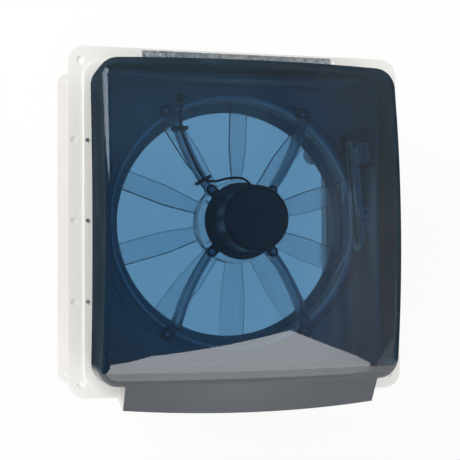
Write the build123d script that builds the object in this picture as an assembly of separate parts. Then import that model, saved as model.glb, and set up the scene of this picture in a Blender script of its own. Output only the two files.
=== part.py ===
from build123d import *
import os
from math import atan2, cos, degrees, hypot, pi, radians, sin, sqrt, tan

# Caravan roof vent for a 14 inch square roof cut-out, lengths in millimetres.
# The origin is the centre of the roof flange's underside, +Z points out of the roof,
# +Y towards the hinge at the rear and +X to the right as seen from the front.

# Fits and clearances
OVERRUN = 2.0
BODY_GAP = 0.3
FIT_GAP = 0.1
RUNNING_GAP = 0.05
THROUGH_GAP = 1.0

# Roof flange, its raised field and its front tongue
FLANGE_SIDE = 420.0
FLANGE_THICK = 3.0
FLANGE_CORNER_R = 21.0
FIELD_HALF_X = 191.0
FIELD_FRONT = 197.0
FIELD_REAR = 191.0
FIELD_RISE = 3.0
FIELD_CORNER_R = 20.0
TONGUE_REACH = 16.0
TONGUE_HALF_ROOT = 152.0
TONGUE_HALF_TIP = 145.5
TONGUE_PAD_MARGIN = 3.0

# Holes in the flange
ROOF_HOLE_X = 194.7
ROOF_HOLE_Y = 192.8
ROOF_HOLE_R = 2.6
ROOF_HOLE_SINK_R = 4.8
ROOF_HOLE_SINK_DEPTH = 1.5
DIMPLE_X = 202.5
DIMPLE_PITCH = 96.5
DIMPLE_R = 4.0
DIMPLE_DEPTH = 1.0
STAY_HOLE_X = 125.4
STAY_HOLE_Y = 203.0
STAY_HOLE_R = 2.0

# Coaming above the roof and neck below it
NECK_SIDE = 350.0
NECK_WALL = 3.0
NECK_CORNER_R = 14.0
NECK_DEPTH = 95.0
COAMING_HEIGHT = 24.0
SHELF_LEG = 40.0
SHELF_THICK = 3.0

# Small screws, all with a round head and a plain shank
SMALL_HEAD_R = 2.5
SMALL_HEAD_RISE = 1.2
SMALL_SHANK_R = 1.1
SMALL_SHANK_LENGTH = 4.0
FIELD_SCREW_X = 187.5
FIELD_SCREW_PITCH = 96.0
SCREW_HEAD_R = 3.5
SCREW_HEAD_RISE = 2.2
SCREW_SHANK_R = 1.7
SCREW_SHANK_LENGTH = 9.0

# Lid: outline at its lower edge, draft, crown and shell
LID_BOTTOM = 8.0
LID_TOP = 111.0
LID_HALF_X = 184.0
LID_REAR = 186.5
LID_FRONT = 193.0
LID_CORNER_R = 25.0
LID_WAIST = 2.3
LID_DRAFT = 1.0
LID_WALL = 3.0
LID_CROWN_R = 800.0
LID_SHOULDER_R = 16.0

# Brim along the lid's front
BRIM_HALF = 152.0
BRIM_ROOT_MID = 177.0
BRIM_ROOT_END = 184.5
BRIM_ROOT_SINK = 1.3
BRIM_TIP_MID = 226.0
BRIM_TIP_END = 220.0
BRIM_TIP_MID_HEIGHT = 62.0
BRIM_TIP_END_HEIGHT = 50.0
BRIM_THICK = 3.0

# Rubber strip under the lid's edge
SEAL_INSET = 0.5
SEAL_WIDTH = 3.5

# Rear hinge
HINGE_Y = 195.0
HINGE_Z = 7.0
BARREL_R = 3.5
HINGE_PIN_R = 1.6
LEAF_THICK = 1.5
LEAF_HALF_X = 120.4
LEAF_OUTER_EDGE = 207.5
MOVING_LEAF_RISE = 27.0
KNUCKLE_COUNT = 17
KNUCKLE_GAP = 0.4
BARREL_RELIEF = 0.4
RIVET_X = (-111.0, -96.0, 0.0, 97.0, 113.0)
FIXED_RIVET_Y = 201.6
MOVING_RIVET_RISE = 16.0
RIVET_HEAD_R = 3.1
RIVET_HEAD_RISE = 1.3
RIVET_SHANK_R = 1.6

# Fan shroud inside the neck
SHROUD_PLATE_TOP = -25.0
SHROUD_PLATE_THICK = 3.0
SHROUD_BORE_R = 155.0
SHROUD_THROAT_WALL = 3.0
SHROUD_BEAD_WIDTH = 4.0
SHROUD_BEAD_DEPTH = 6.0
SHROUD_LIP_TOP = -14.0
SHROUD_BOTTOM = -58.0
SHROUD_APERTURE_R = 143.5
SHROUD_FENCE_INSET = 2.0
SHROUD_FENCE_WALL = 2.0
SHELF_SCREW_INSET = 13.0

# Motor struts, given for the rear right one
STRUT_TOP = 14.0
STRUT_DEPTH = 12.0
STRUT_WALL = 1.8
STRUT_INNER_WIDTH = 9.0
STRUT_OUTER_WIDTH = 12.0
STRUT_BOW = 4.5
STRUT_END_X = 82.0
STRUT_END_Y = 127.5
STRUT_FOOT_THICK = 2.5
STRUT_FOOT_LENGTH = 16.0
STRUT_FOOT_WIDTH = 14.0
STRUT_LEG_THICK = 3.5
STRUT_PAD_R = 6.0

# Motor above the fan
MOTOR_FLANGE_R = 47.0
MOTOR_FLANGE_THICK = 3.0
MOTOR_EAR_X = 38.3
MOTOR_EAR_Y = 37.5
MOTOR_EAR_R = 6.5
MOTOR_CAN_R = 39.0
MOTOR_CAN_HEIGHT = 68.0
MOTOR_CAN_EDGE_R = 7.0
MOTOR_CAN_WALL = 2.0
MAGNET_THICK = 5.0
MAGNET_GAP = 1.0
MAGNET_SWEEP = 130.0
ARMATURE_HEIGHT = 44.0
ARMATURE_RISE = 10.0
ARMATURE_SLOTS = 12
ARMATURE_SLOT_WIDTH = 3.0
ARMATURE_SLOT_DEPTH = 6.0
BEARING_R = 8.0
BEARING_HEIGHT = 6.0
SHAFT_R = 4.0

# Fan
FAN_TIP_R = 150.0
FAN_MID_Z = -21.0
FAN_HALF_DEPTH = 9.0
FAN_BLADES = 10
FAN_FIRST_ANGLE = 15.6
FAN_BLADE_WIDTH = 26.0
FAN_BLADE_ROOT_WIDTH = 16.0
FAN_BLADE_SHOULDER_R = 95.0
FAN_BLADE_THICK = 2.0
HUB_R = 51.5
HUB_TOP = -8.0
HUB_BOTTOM = -30.0
HUB_WALL = 3.0
HUB_EDGE_R = 2.0
HUB_BOSS_R = 10.0
HUB_RIBS = 5
NUT_ACROSS_R = 8.0
NUT_HEIGHT = 5.0
SHAFT_TAIL = 2.0

# Motor lead and what holds it
LEAD_R = 1.5
TIE_WIDTH = 4.0
TIE_THICK = 1.2
GROMMET_WALL = 2.5
GROMMET_FLANGE = 2.0
GROMMET_SLEEVE_GAP = 0.2

# Lid lift: the arm's pivot stands on a ray from the hinge, an arm's length away
ARM_LENGTH = 112.0
ARM_RAY_ANGLE = 12.0
ARM_X = 138.0
ARM_THICK = 4.0
ARM_BOSS_R = 9.0
ARM_END_R = 7.0
ARM_PIN_R = 3.0
PIN_HEAD_R = 5.0
PIN_HEAD_THICK = 2.0
TRACK_X = 133.5
TRACK_THICK = 2.5
TRACK_SLOT_GAP = 0.35
TRACK_BORDER = 7.0
TRACK_RUNOUT = 4.0
LID_OPEN_ANGLE = 60.0
TRACK_FOOT_Y = (78.0, 2.0)
TRACK_FOOT_WIDTH = 22.0
TRACK_FOOT_REACH = 13.0
TRACK_FOOT_THICK = 3.0

# Worm gear on the arm's pivot shaft
GEAR_MODULE = 1.4
WHEEL_TEETH = 20
WHEEL_WIDTH = 5.0
WORM_R = 4.6
WORM_TURNS = 5.5
GEAR_BACKLASH = 0.5
PRESSURE_ANGLE = 20.0
ADDENDUM_SHARE = 1.0
DEDENDUM_SHARE = 1.25
PIVOT_SHAFT_R = 4.0
WORM_SHAFT_R = 2.8

# Gear case on the shroud plate
CASE_X = 143.0
CASE_WALL = 1.8
CASE_COVER_THICK = 2.0
CASE_PLAY = 0.8
CASE_FOOT_THICK = 3.0
CASE_FOOT_END = 171.0
CASE_PEDESTAL_SHARE = 0.62
BUSH_WALL = 1.6

# Interior trim, with the ledge that the insect screen seats against
TRIM_SIDE = 416.0
TRIM_BOTTOM = -168.0
TRIM_THICK = 3.0
TRIM_RIM_WIDTH = 5.8
TRIM_RIM_DEPTH = 0.8
TRIM_CORNER_R = 14.0
TRIM_HOLE_PITCH = 395.0
TRIM_HOLE_R = 2.6
UPSTAND_GAP = 2.0
UPSTAND_WALL = 3.0
UPSTAND_CORNER_R = 11.0
UPSTAND_TOP = -70.0
TRIM_SCREW_Z = -82.0
TRIM_SCREW_PITCH = 80.0
LEDGE_WIDTH = 12.0
LEDGE_TOP = -103.0
LEDGE_THICK = 3.0
LEDGE_CORNER_R = 97.0

# Insect screen and its turn buttons
SCREEN_MARGIN = 8.0
SCREEN_BORDER = 6.0
SCREEN_THICK = 5.0
SCREEN_CORNER_R = 6.0
NET_CELLS = 17
NET_STRAND = 1.6
NET_THICK = 0.8
NET_SEAT = 3.0
BUTTON_INSET = 3.8
BUTTON_BOSS_R = 3.5
BUTTON_R = 3.4
BUTTON_REACH = 10.0
BUTTON_THICK = 3.0
BUTTON_SHANK_R = 1.4

# Crank below the gear case
KNOB_R = 14.5
KNOB_HEIGHT = 24.0
KNOB_BOTTOM = -160.0
KNOB_EDGE_R = 2.5
KNOB_GRIPS = 12
KNOB_GRIP_R = 2.5

# Control box with the fan's speed knob
BOX_WALL_GAP = 0.5
BOX_WIDTH = 26.5
BOX_AHEAD = 20.0
BOX_BEHIND = 32.0
BOX_TOP = -72.0
BOX_WALL = 2.0
BOX_EDGE_R = 3.0
SPEED_KNOB_R = 11.0
SPEED_KNOB_HEIGHT = 14.0
SPEED_KNOB_BOTTOM = -150.0
SPEED_SHAFT_R = 3.0
SPEED_POINTER = 2.0
FUSE_R = 6.0
FUSE_REACH = 5.0
FUSE_SLOT = 1.4
FUSE_SHANK_R = 3.5
FUSE_SHANK_LENGTH = 9.0
SUPPLY_Y = 40.0
SUPPLY_Z = -50.0
SUPPLY_BORE_R = 3.0

# The motor lead's route from the motor, along the rear left strut, to the control box
LEAD_ROUTE = [
    (7.4, 36.8, 23.0),
    (8.6, 45.2, 23.2),
    (-1.5, 52.5, 21.4),
    (-18.5, 52.0, 18.8),
    (-34.0, 47.4, 16.6),
    (-47.6, 49.6, 15.9),
    (-57.0, 65.5, 15.9),
    (-67.5, 88.5, 15.8),
    (-76.3, 112.0, 15.9),
    (-76.8, 130.0, 15.0),
    (-71.6, 146.5, 9.0),
    (-68.2, 155.2, -6.0),
    (-68.2, 155.2, -38.0),
    (-82.0, 154.0, -53.0),
    (-100.0, 149.5, -57.5),
    (-119.0, 142.0, -58.0),
    (-137.0, 133.0, -58.5),
    (-148.5, 125.6, -64.0),
    (-150.0, 124.5, -72.0),
]
LEAD_TIE_POINTS = (5, 8)
LEAD_BEND_SHARE = 0.45

# Places worked out from the sizes above
FIELD_TOP = FLANGE_THICK + FIELD_RISE
NECK_INNER = NECK_SIDE - 2 * NECK_WALL
NECK_INNER_R = NECK_CORNER_R - NECK_WALL
CROWN_CENTRE = LID_TOP - LID_CROWN_R
DRAFT_SLOPE = tan(radians(LID_DRAFT))
SHROUD_PLATE_BOTTOM = SHROUD_PLATE_TOP - SHROUD_PLATE_THICK
SHELF_SCREW_AT = NECK_INNER / 2 - SHELF_SCREW_INSET
MOTOR_CAN_BOTTOM = STRUT_TOP + MOTOR_FLANGE_THICK
MOTOR_CAN_TOP = MOTOR_CAN_BOTTOM + MOTOR_CAN_HEIGHT
MOTOR_CAN_BORE = MOTOR_CAN_R - MOTOR_CAN_WALL
ARMATURE_R = MOTOR_CAN_BORE - BODY_GAP - MAGNET_THICK - MAGNET_GAP
UPPER_BEARING_Z = MOTOR_CAN_TOP - MOTOR_CAN_WALL - BEARING_HEIGHT
RAY_Y = -cos(radians(ARM_RAY_ANGLE))
RAY_Z = sin(radians(ARM_RAY_ANGLE))
PIVOT_Y = HINGE_Y + ARM_LENGTH * RAY_Y
PIVOT_Z = HINGE_Z + ARM_LENGTH * RAY_Z
WHEEL_R = GEAR_MODULE * WHEEL_TEETH / 2
GEAR_PITCH = GEAR_MODULE * pi
GEAR_ADDENDUM = GEAR_MODULE * ADDENDUM_SHARE
GEAR_DEDENDUM = GEAR_MODULE * DEDENDUM_SHARE
CASE_RADIUS = WHEEL_R + GEAR_ADDENDUM + CASE_PLAY
WORM_ROOM = WORM_R + GEAR_ADDENDUM + CASE_PLAY
WORM_X = CASE_X + CASE_WALL + WORM_ROOM
WORM_Y = PIVOT_Y + WHEEL_R + WORM_R
WHEEL_X = WORM_X - WHEEL_WIDTH / 2
CASE_DEPTH = CASE_WALL + 2 * WORM_ROOM
CASE_TOP = PIVOT_Z + CASE_RADIUS + CASE_WALL
CASE_BOTTOM = PIVOT_Z - CASE_RADIUS - CASE_WALL
CASE_FRONT = PIVOT_Y - CASE_RADIUS - CASE_WALL
CASE_REAR = WORM_Y + WORM_ROOM + CASE_WALL
TRIM_TOP = TRIM_BOTTOM + TRIM_THICK
UPSTAND_SIDE = NECK_INNER - 2 * UPSTAND_GAP
UPSTAND_INNER = UPSTAND_SIDE - 2 * UPSTAND_WALL
LEDGE_SIDE = UPSTAND_INNER - 2 * LEDGE_WIDTH
LEDGE_BOTTOM = LEDGE_TOP - LEDGE_THICK
SCREEN_SIDE = UPSTAND_INNER - 2 * SCREEN_MARGIN
SCREEN_OPENING = SCREEN_SIDE - 2 * SCREEN_BORDER
SCREEN_OPENING_R = LEDGE_CORNER_R - (LEDGE_SIDE - SCREEN_OPENING) / 2
SCREEN_BOTTOM = LEDGE_BOTTOM - SCREEN_THICK
BUTTON_TOP = SCREEN_BOTTOM - BODY_GAP
BUTTON_PIVOT = UPSTAND_INNER / 2 - BUTTON_INSET
SPEED_X = -WORM_X
SPEED_Y = WORM_Y
BOX_OUTER_X = UPSTAND_INNER / 2 - BOX_WALL_GAP
BOX_INNER_X = BOX_OUTER_X - BOX_WIDTH
BOX_FRONT = SPEED_Y - BOX_AHEAD
BOX_REAR = SPEED_Y + BOX_BEHIND

UPWARD = (Align.CENTER, Align.CENTER, Align.MIN)
DOWNWARD = (Align.CENTER, Align.CENTER, Align.MAX)
QUARTERS = ((1, 1), (-1, 1), (1, -1), (-1, -1))


def rod(radius, length, place=Pos(0, 0, 0)):
    """A cylinder that starts at a place and runs along that place's Z axis."""
    return place * Cylinder(radius, length, align=UPWARD)


def tube(outer_r, inner_r, length, place=Pos(0, 0, 0)):
    """A ring or sleeve that starts at a place and runs along its Z axis."""
    core = rod(inner_r, length + 2 * OVERRUN, place * Pos(0, 0, -OVERRUN))
    return rod(outer_r, length, place) - core


def along_x(x, y, z):
    """A place whose Z axis points to the right."""
    return Pos(x, y, z) * Rot(0, 90, 0)


def facing_down(x, y, z):
    """A place whose Z axis points down."""
    return Pos(x, y, z) * Rot(180, 0, 0)


def span_box(x_span, y_span, z_span):
    """A box between two limits on each axis."""
    size = [high - low for low, high in (x_span, y_span, z_span)]
    middle = [(high + low) / 2 for low, high in (x_span, y_span, z_span)]
    return Pos(*middle) * Box(*size)


def rounded_plate(size_x, size_y, corner_r, bottom, top):
    """A level plate with rounded corners, centred on the origin."""
    outline = RectangleRounded(size_x, size_y, corner_r)
    return Pos(0, 0, bottom) * extrude(outline, top - bottom)


def screw(place, head_r, head_rise, shank_r, shank_length):
    """A round-headed screw: its head stands on the place's XY plane, its shank runs the other way."""
    edges = rod(head_r, head_rise, place).edges().filter_by(GeomType.CIRCLE)
    outer = edges.sort_by_distance((place * Pos(0, 0, head_rise)).position)[0]
    head = fillet(outer, head_rise / 2)
    shank = place * Cylinder(shank_r, shank_length, align=DOWNWARD)
    return head + shank


def big_screw(place):
    return screw(place, SCREW_HEAD_R, SCREW_HEAD_RISE, SCREW_SHANK_R, SCREW_SHANK_LENGTH)


def small_screw(place):
    return screw(place, SMALL_HEAD_R, SMALL_HEAD_RISE, SMALL_SHANK_R, SMALL_SHANK_LENGTH)


def screw_hole(place, shank_r, depth):
    """The hole for a screw at the same place."""
    return rod(shank_r + FIT_GAP, depth + 2 * OVERRUN, place * Pos(0, 0, -depth - OVERRUN))


def as_group(solids):
    """Separate solids that share one node."""
    return Compound(children=list(solids))


# Base


def field_screw_places():
    rows = (-FIELD_SCREW_PITCH, 0, FIELD_SCREW_PITCH)
    return [Pos(side * FIELD_SCREW_X, y, FIELD_TOP) for side in (-1, 1) for y in rows]


def shelf_screw_places():
    return [Pos(a * SHELF_SCREW_AT, b * SHELF_SCREW_AT, SHROUD_PLATE_TOP) for a, b in QUARTERS]


def trim_screw_places():
    """Screws from inside the upstand into the neck, two on each side."""
    face = UPSTAND_INNER / 2
    turns = [Rot(0, 0, 90 * quarter) for quarter in range(4)]
    rows = (-TRIM_SCREW_PITCH / 2, TRIM_SCREW_PITCH / 2)
    return [turn * Pos(face, y, TRIM_SCREW_Z) * Rot(0, -90, 0) for turn in turns for y in rows]


def flange_plate():
    """The flange with its raised field, front tongue and tongue pad."""
    flange = rounded_plate(FLANGE_SIDE, FLANGE_SIDE, FLANGE_CORNER_R, 0, FLANGE_THICK)
    depth = FIELD_FRONT + FIELD_REAR
    field = RectangleRounded(2 * FIELD_HALF_X, depth, FIELD_CORNER_R)
    shift = (FIELD_REAR - FIELD_FRONT) / 2
    raised = Pos(0, shift, 0) * extrude(field, FIELD_TOP)
    return flange + raised + tongue_plate(0, FLANGE_THICK) + tongue_plate(TONGUE_PAD_MARGIN, FIELD_TOP)


def tongue_plate(margin, height):
    """The tongue's outline, drawn in by a margin, from the flange's middle zone to its tip."""
    root = -FLANGE_SIDE / 2
    tip = root - TONGUE_REACH + margin
    inner = root + TONGUE_REACH
    half_root = TONGUE_HALF_ROOT - margin
    half_tip = TONGUE_HALF_TIP - margin
    corners = [(half_root, inner), (half_root, root), (half_tip, tip)]
    outline = corners + [(-x, y) for x, y in reversed(corners)]
    return extrude(make_face(Polyline(*outline, close=True)), height)


def corner_shelf(side_x, side_y):
    """A triangular shelf in a corner of the neck, under the shroud plate."""
    corner = NECK_INNER / 2 + NECK_WALL / 2
    inner = NECK_INNER / 2 - SHELF_LEG
    points = [(corner, corner), (inner, corner), (corner, inner)]
    outline = [(side_x * x, side_y * y) for x, y in points]
    shelf = extrude(make_face(Polyline(*outline, close=True)), SHELF_THICK)
    trim = rounded_plate(NECK_SIDE - NECK_WALL, NECK_SIDE - NECK_WALL, NECK_CORNER_R, 0, SHELF_THICK)
    return Pos(0, 0, SHROUD_PLATE_BOTTOM - SHELF_THICK) * (shelf & trim)


def roof_hole(side_x, side_y):
    """A countersunk hole for one of the four roof screws."""
    place = Pos(side_x * ROOF_HOLE_X, side_y * ROOF_HOLE_Y, 0)
    bore = rod(ROOF_HOLE_R, FLANGE_THICK + 2 * OVERRUN, place * Pos(0, 0, -OVERRUN))
    depth = ROOF_HOLE_SINK_DEPTH
    sink = Cone(ROOF_HOLE_R, ROOF_HOLE_SINK_R, depth, align=UPWARD)
    return bore + place * Pos(0, 0, FLANGE_THICK - depth) * sink


def base_frame():
    frame = flange_plate()
    frame = frame + rounded_plate(NECK_SIDE, NECK_SIDE, NECK_CORNER_R, -NECK_DEPTH, COAMING_HEIGHT)
    low = -NECK_DEPTH - OVERRUN
    high = COAMING_HEIGHT + OVERRUN
    frame = frame - rounded_plate(NECK_INNER, NECK_INNER, NECK_INNER_R, low, high)
    for side_x, side_y in QUARTERS:
        frame = frame + corner_shelf(side_x, side_y)
        frame = frame - roof_hole(side_x, side_y)
    for side in (-1, 1):
        for row in (-1, 0, 1):
            spot = Pos(side * DIMPLE_X, row * DIMPLE_PITCH, FLANGE_THICK - DIMPLE_DEPTH)
            frame = frame - rod(DIMPLE_R, DIMPLE_DEPTH + OVERRUN, spot)
    stay = Pos(STAY_HOLE_X, STAY_HOLE_Y, -OVERRUN)
    frame = frame - rod(STAY_HOLE_R, FLANGE_THICK + 2 * OVERRUN, stay)
    for place in field_screw_places():
        frame = frame - screw_hole(place, SMALL_SHANK_R, SMALL_SHANK_LENGTH)
    for place in shelf_screw_places():
        frame = frame - screw_hole(place, SCREW_SHANK_R, SCREW_SHANK_LENGTH)
    for place in trim_screw_places():
        frame = frame - screw_hole(place, SCREW_SHANK_R, SCREW_SHANK_LENGTH)
    for place in fixed_rivet_places():
        frame = frame - screw_hole(place, RIVET_SHANK_R, FLANGE_THICK + LEAF_THICK)
    supply = along_x(-NECK_SIDE / 2 - OVERRUN, SUPPLY_Y, SUPPLY_Z)
    return frame - rod(SUPPLY_BORE_R + GROMMET_WALL + GROMMET_SLEEVE_GAP, NECK_WALL + 2 * OVERRUN, supply)


# Lid


def lid_outline(inset, height):
    """The lid's plan at a height: straight front and rear, slightly waisted sides."""
    lean = (height - LID_BOTTOM) * DRAFT_SLOPE
    half = LID_HALF_X - inset - lean
    rear = LID_REAR - inset - lean
    front = -LID_FRONT + inset + lean
    middle = (rear + front) / 2
    waist = half - LID_WAIST
    edges = [
        ThreePointArc((half, front), (waist, middle), (half, rear)),
        Line((half, rear), (-half, rear)),
        ThreePointArc((-half, rear), (-waist, middle), (-half, front)),
        Line((-half, front), (half, front)),
    ]
    face = make_face(edges)
    return Pos(0, 0, height) * fillet(face.vertices(), LID_CORNER_R - inset)


def lid_block(inset, bottom):
    """The lid as a solid block, drawn in by an inset on every face."""
    top = LID_TOP + OVERRUN
    walls = loft([lid_outline(inset, bottom), lid_outline(inset, top)], ruled=True)
    crown = Pos(0, 0, CROWN_CENTRE) * Rot(90, 0, 0) * Sphere(LID_CROWN_R - inset)
    block = walls & crown
    shoulder = block.faces().sort_by(Axis.Z)[-1].edges()
    return fillet(shoulder, LID_SHOULDER_R - inset)


def crown_height(x, y, inset=0):
    """Height of the crown, or of a surface an inset below it, over a point."""
    return CROWN_CENTRE + sqrt((LID_CROWN_R - inset) ** 2 - x**2 - y**2)


def brim_section(x, root_y, tip_y, tip_z):
    """The brim's cross-section at one place along its length."""
    root_z = crown_height(x, root_y) - BRIM_ROOT_SINK
    slope = atan2(root_z - tip_z, tip_y - root_y)
    drop = BRIM_THICK / cos(slope)
    across = (BRIM_THICK * sin(slope), BRIM_THICK * cos(slope))
    points = [
        (x, -root_y, root_z),
        (x, -tip_y, tip_z),
        (x, -tip_y + across[0], tip_z - across[1]),
        (x, -root_y, root_z - drop),
    ]
    return make_face(Polyline(*points, close=True))


def lid_brim():
    middle = brim_section(0, BRIM_ROOT_MID, BRIM_TIP_MID, BRIM_TIP_MID_HEIGHT)
    left = brim_section(-BRIM_HALF, BRIM_ROOT_END, BRIM_TIP_END, BRIM_TIP_END_HEIGHT)
    right = brim_section(BRIM_HALF, BRIM_ROOT_END, BRIM_TIP_END, BRIM_TIP_END_HEIGHT)
    return loft([left, middle, right])


def rear_wall_place(x, rise):
    """A place on the lid's rear wall, above its lower edge, facing outwards."""
    draft = radians(LID_DRAFT)
    origin = (x, LID_REAR - rise * DRAFT_SLOPE, LID_BOTTOM + rise)
    return Plane(origin=origin, x_dir=(-1, 0, 0), z_dir=(0, cos(draft), sin(draft))).location


def moving_rivet_places():
    return [rear_wall_place(x, MOVING_RIVET_RISE) * Pos(0, 0, LEAF_THICK) for x in RIVET_X]


def track_screw_places():
    """Screws up through the track's feet into the lid."""
    places = []
    for foot_y in TRACK_FOOT_Y:
        for side in (-1, 1):
            x = TRACK_X - TRACK_FOOT_REACH / 2
            y = foot_y + side * TRACK_FOOT_WIDTH / 4
            z = crown_height(x, y, LID_WALL + TRACK_FOOT_THICK + 2 * FIT_GAP)
            inward = (-x, -y, CROWN_CENTRE - z)
            places.append(Plane(origin=(x, y, z), z_dir=inward).location)
    return places


def lid_dome():
    lid = lid_block(0, LID_BOTTOM) + lid_brim()
    lid = lid - lid_block(LID_WALL, LID_BOTTOM - OVERRUN)
    for place in moving_rivet_places():
        lid = lid - screw_hole(place, RIVET_SHANK_R, 2 * LID_WALL + LEAF_THICK)
    for place in track_screw_places():
        lid = lid - screw_hole(place, SMALL_SHANK_R, SMALL_SHANK_LENGTH)
    return lid


def lid_seal():
    """A rubber strip on the raised field, just under the lid's lower edge."""
    outer = lid_outline(SEAL_INSET, LID_BOTTOM)
    inner = lid_outline(SEAL_INSET + SEAL_WIDTH, LID_BOTTOM)
    height = LID_BOTTOM - BODY_GAP - FIELD_TOP
    return Pos(0, 0, FIELD_TOP - LID_BOTTOM) * extrude(outer - inner, height)


# Hinge


def fixed_rivet_places():
    return [Pos(x, FIXED_RIVET_Y, FLANGE_THICK + LEAF_THICK) for x in RIVET_X]


def knuckle_spans(first):
    """The stretches along the hinge that every second knuckle takes."""
    pitch = 2 * LEAF_HALF_X / KNUCKLE_COUNT
    starts = [-LEAF_HALF_X + pitch * number for number in range(first, KNUCKLE_COUNT, 2)]
    return [(start + KNUCKLE_GAP / 2, start + pitch - KNUCKLE_GAP / 2) for start in starts]


def knuckled(leaf, first, tab_y_span, tab_z_span):
    """Adds every second knuckle, with the tab that joins it to its leaf."""
    for low, high in knuckle_spans(first):
        leaf = leaf + span_box((low, high), tab_y_span, tab_z_span)
        leaf = leaf + rod(BARREL_R, high - low, along_x(low, HINGE_Y, HINGE_Z))
    start = along_x(-LEAF_HALF_X - OVERRUN, HINGE_Y, HINGE_Z)
    return leaf - rod(HINGE_PIN_R + RUNNING_GAP, 2 * LEAF_HALF_X + 2 * OVERRUN, start)


def hinge_fixed_leaf():
    near = HINGE_Y + BARREL_R + BARREL_RELIEF
    z_span = (FLANGE_THICK, FLANGE_THICK + LEAF_THICK)
    leaf = span_box((-LEAF_HALF_X, LEAF_HALF_X), (near, LEAF_OUTER_EDGE), z_span)
    leaf = knuckled(leaf, 0, (HINGE_Y, near + LEAF_THICK), z_span)
    for place in fixed_rivet_places():
        leaf = leaf - screw_hole(place, RIVET_SHANK_R, LEAF_THICK)
    return leaf


def hinge_moving_leaf():
    top = HINGE_Z + BARREL_R
    bottom = top - LEAF_THICK
    near = HINGE_Y - BARREL_R - BARREL_RELIEF
    rise = top - LID_BOTTOM
    wall = rear_wall_place(0, 0)
    height = MOVING_LEAF_RISE - rise + LEAF_THICK
    upright = Box(2 * LEAF_HALF_X, height, LEAF_THICK, align=UPWARD)
    leaf = wall * Pos(0, rise - LEAF_THICK + height / 2, 0) * upright
    crank_span = (LID_REAR + LEAF_THICK / 2, near)
    leaf = leaf + span_box((-LEAF_HALF_X, LEAF_HALF_X), crank_span, (bottom, top))
    leaf = knuckled(leaf, 1, (near - LEAF_THICK, HINGE_Y), (bottom, top))
    for place in moving_rivet_places():
        leaf = leaf - screw_hole(place, RIVET_SHANK_R, LEAF_THICK)
    return leaf


def hinge_pin():
    return rod(HINGE_PIN_R, 2 * LEAF_HALF_X, along_x(-LEAF_HALF_X, HINGE_Y, HINGE_Z))


def rivets(places, length):
    return as_group(screw(place, RIVET_HEAD_R, RIVET_HEAD_RISE, RIVET_SHANK_R, length) for place in places)


# Fan shroud


def strut_foot_places():
    """Foot screw places of the four struts, beyond the shroud's bead."""
    reach = hypot(STRUT_END_X, STRUT_END_Y)
    radius = SHROUD_BORE_R + SHROUD_BEAD_WIDTH + STRUT_FOOT_LENGTH / 4
    scale_out = radius / reach
    x = STRUT_END_X * scale_out
    y = STRUT_END_Y * scale_out
    return [Pos(a * x, b * y, SHROUD_LIP_TOP + STRUT_FOOT_THICK) for a, b in QUARTERS]


def strut_boss(place):
    """The boss on the shroud plate that carries one strut's foot."""
    radius = STRUT_FOOT_WIDTH / 2
    height = SHROUD_LIP_TOP - SHROUD_PLATE_TOP + SHROUD_PLATE_THICK / 2
    low = Pos(place.position.X, place.position.Y, SHROUD_LIP_TOP - height)
    return rod(radius, height, low)


def shroud_fence():
    """The low ring on the plate, open where the lead and the gear case pass."""
    radius = NECK_INNER / 2 - SHROUD_FENCE_INSET
    sunk = SHROUD_PLATE_TOP - SHROUD_PLATE_THICK / 2
    fence = tube(radius, radius - SHROUD_FENCE_WALL, SHROUD_LIP_TOP - sunk, Pos(0, 0, sunk))
    x, y = lead_grommet_centre()
    passage = rod(LEAD_R + GROMMET_WALL + GROMMET_FLANGE + THROUGH_GAP, LID_TOP, Pos(x, y, SHROUD_PLATE_TOP))
    case_y = (CASE_FRONT - THROUGH_GAP, CASE_REAR + THROUGH_GAP)
    case = span_box((CASE_X - THROUGH_GAP, radius), case_y, (SHROUD_PLATE_TOP, LID_TOP))
    return fence - passage - case


def fan_shroud():
    side = NECK_INNER - 2 * BODY_GAP
    corner_r = NECK_INNER_R - BODY_GAP
    shroud = rounded_plate(side, side, corner_r, SHROUD_PLATE_BOTTOM, SHROUD_PLATE_TOP)
    wall_r = SHROUD_BORE_R + SHROUD_THROAT_WALL
    shroud = shroud + rod(wall_r, SHROUD_LIP_TOP - SHROUD_BOTTOM, Pos(0, 0, SHROUD_BOTTOM))
    bead_z = SHROUD_LIP_TOP - SHROUD_BEAD_DEPTH
    shroud = shroud + rod(SHROUD_BORE_R + SHROUD_BEAD_WIDTH, SHROUD_BEAD_DEPTH, Pos(0, 0, bead_z))
    shroud = shroud + shroud_fence()
    for place in strut_foot_places():
        shroud = shroud + strut_boss(place)
    floor_z = SHROUD_BOTTOM + SHROUD_THROAT_WALL
    shroud = shroud - rod(SHROUD_BORE_R, SHROUD_LIP_TOP - floor_z + OVERRUN, Pos(0, 0, floor_z))
    aperture = Pos(0, 0, SHROUD_BOTTOM - OVERRUN)
    shroud = shroud - rod(SHROUD_APERTURE_R, SHROUD_THROAT_WALL + 2 * OVERRUN, aperture)
    for place in shelf_screw_places():
        shroud = shroud - screw_hole(place, SCREW_SHANK_R, SHROUD_PLATE_THICK)
    for place in strut_foot_places():
        shroud = shroud - screw_hole(place, SMALL_SHANK_R, STRUT_FOOT_THICK + SMALL_SHANK_LENGTH)
    for place in case_foot_places():
        shroud = shroud - screw_hole(place, SMALL_SHANK_R, CASE_FOOT_THICK + SMALL_SHANK_LENGTH)
    low = SHROUD_PLATE_BOTTOM - OVERRUN
    depth = SHROUD_PLATE_THICK + 2 * OVERRUN
    shroud = shroud - rod(WORM_SHAFT_R + THROUGH_GAP, depth, Pos(WORM_X, WORM_Y, low))
    x, y = lead_grommet_centre()
    return shroud - rod(LEAD_R + GROMMET_WALL + GROMMET_SLEEVE_GAP, depth, Pos(x, y, low))


# Motor and struts


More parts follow.
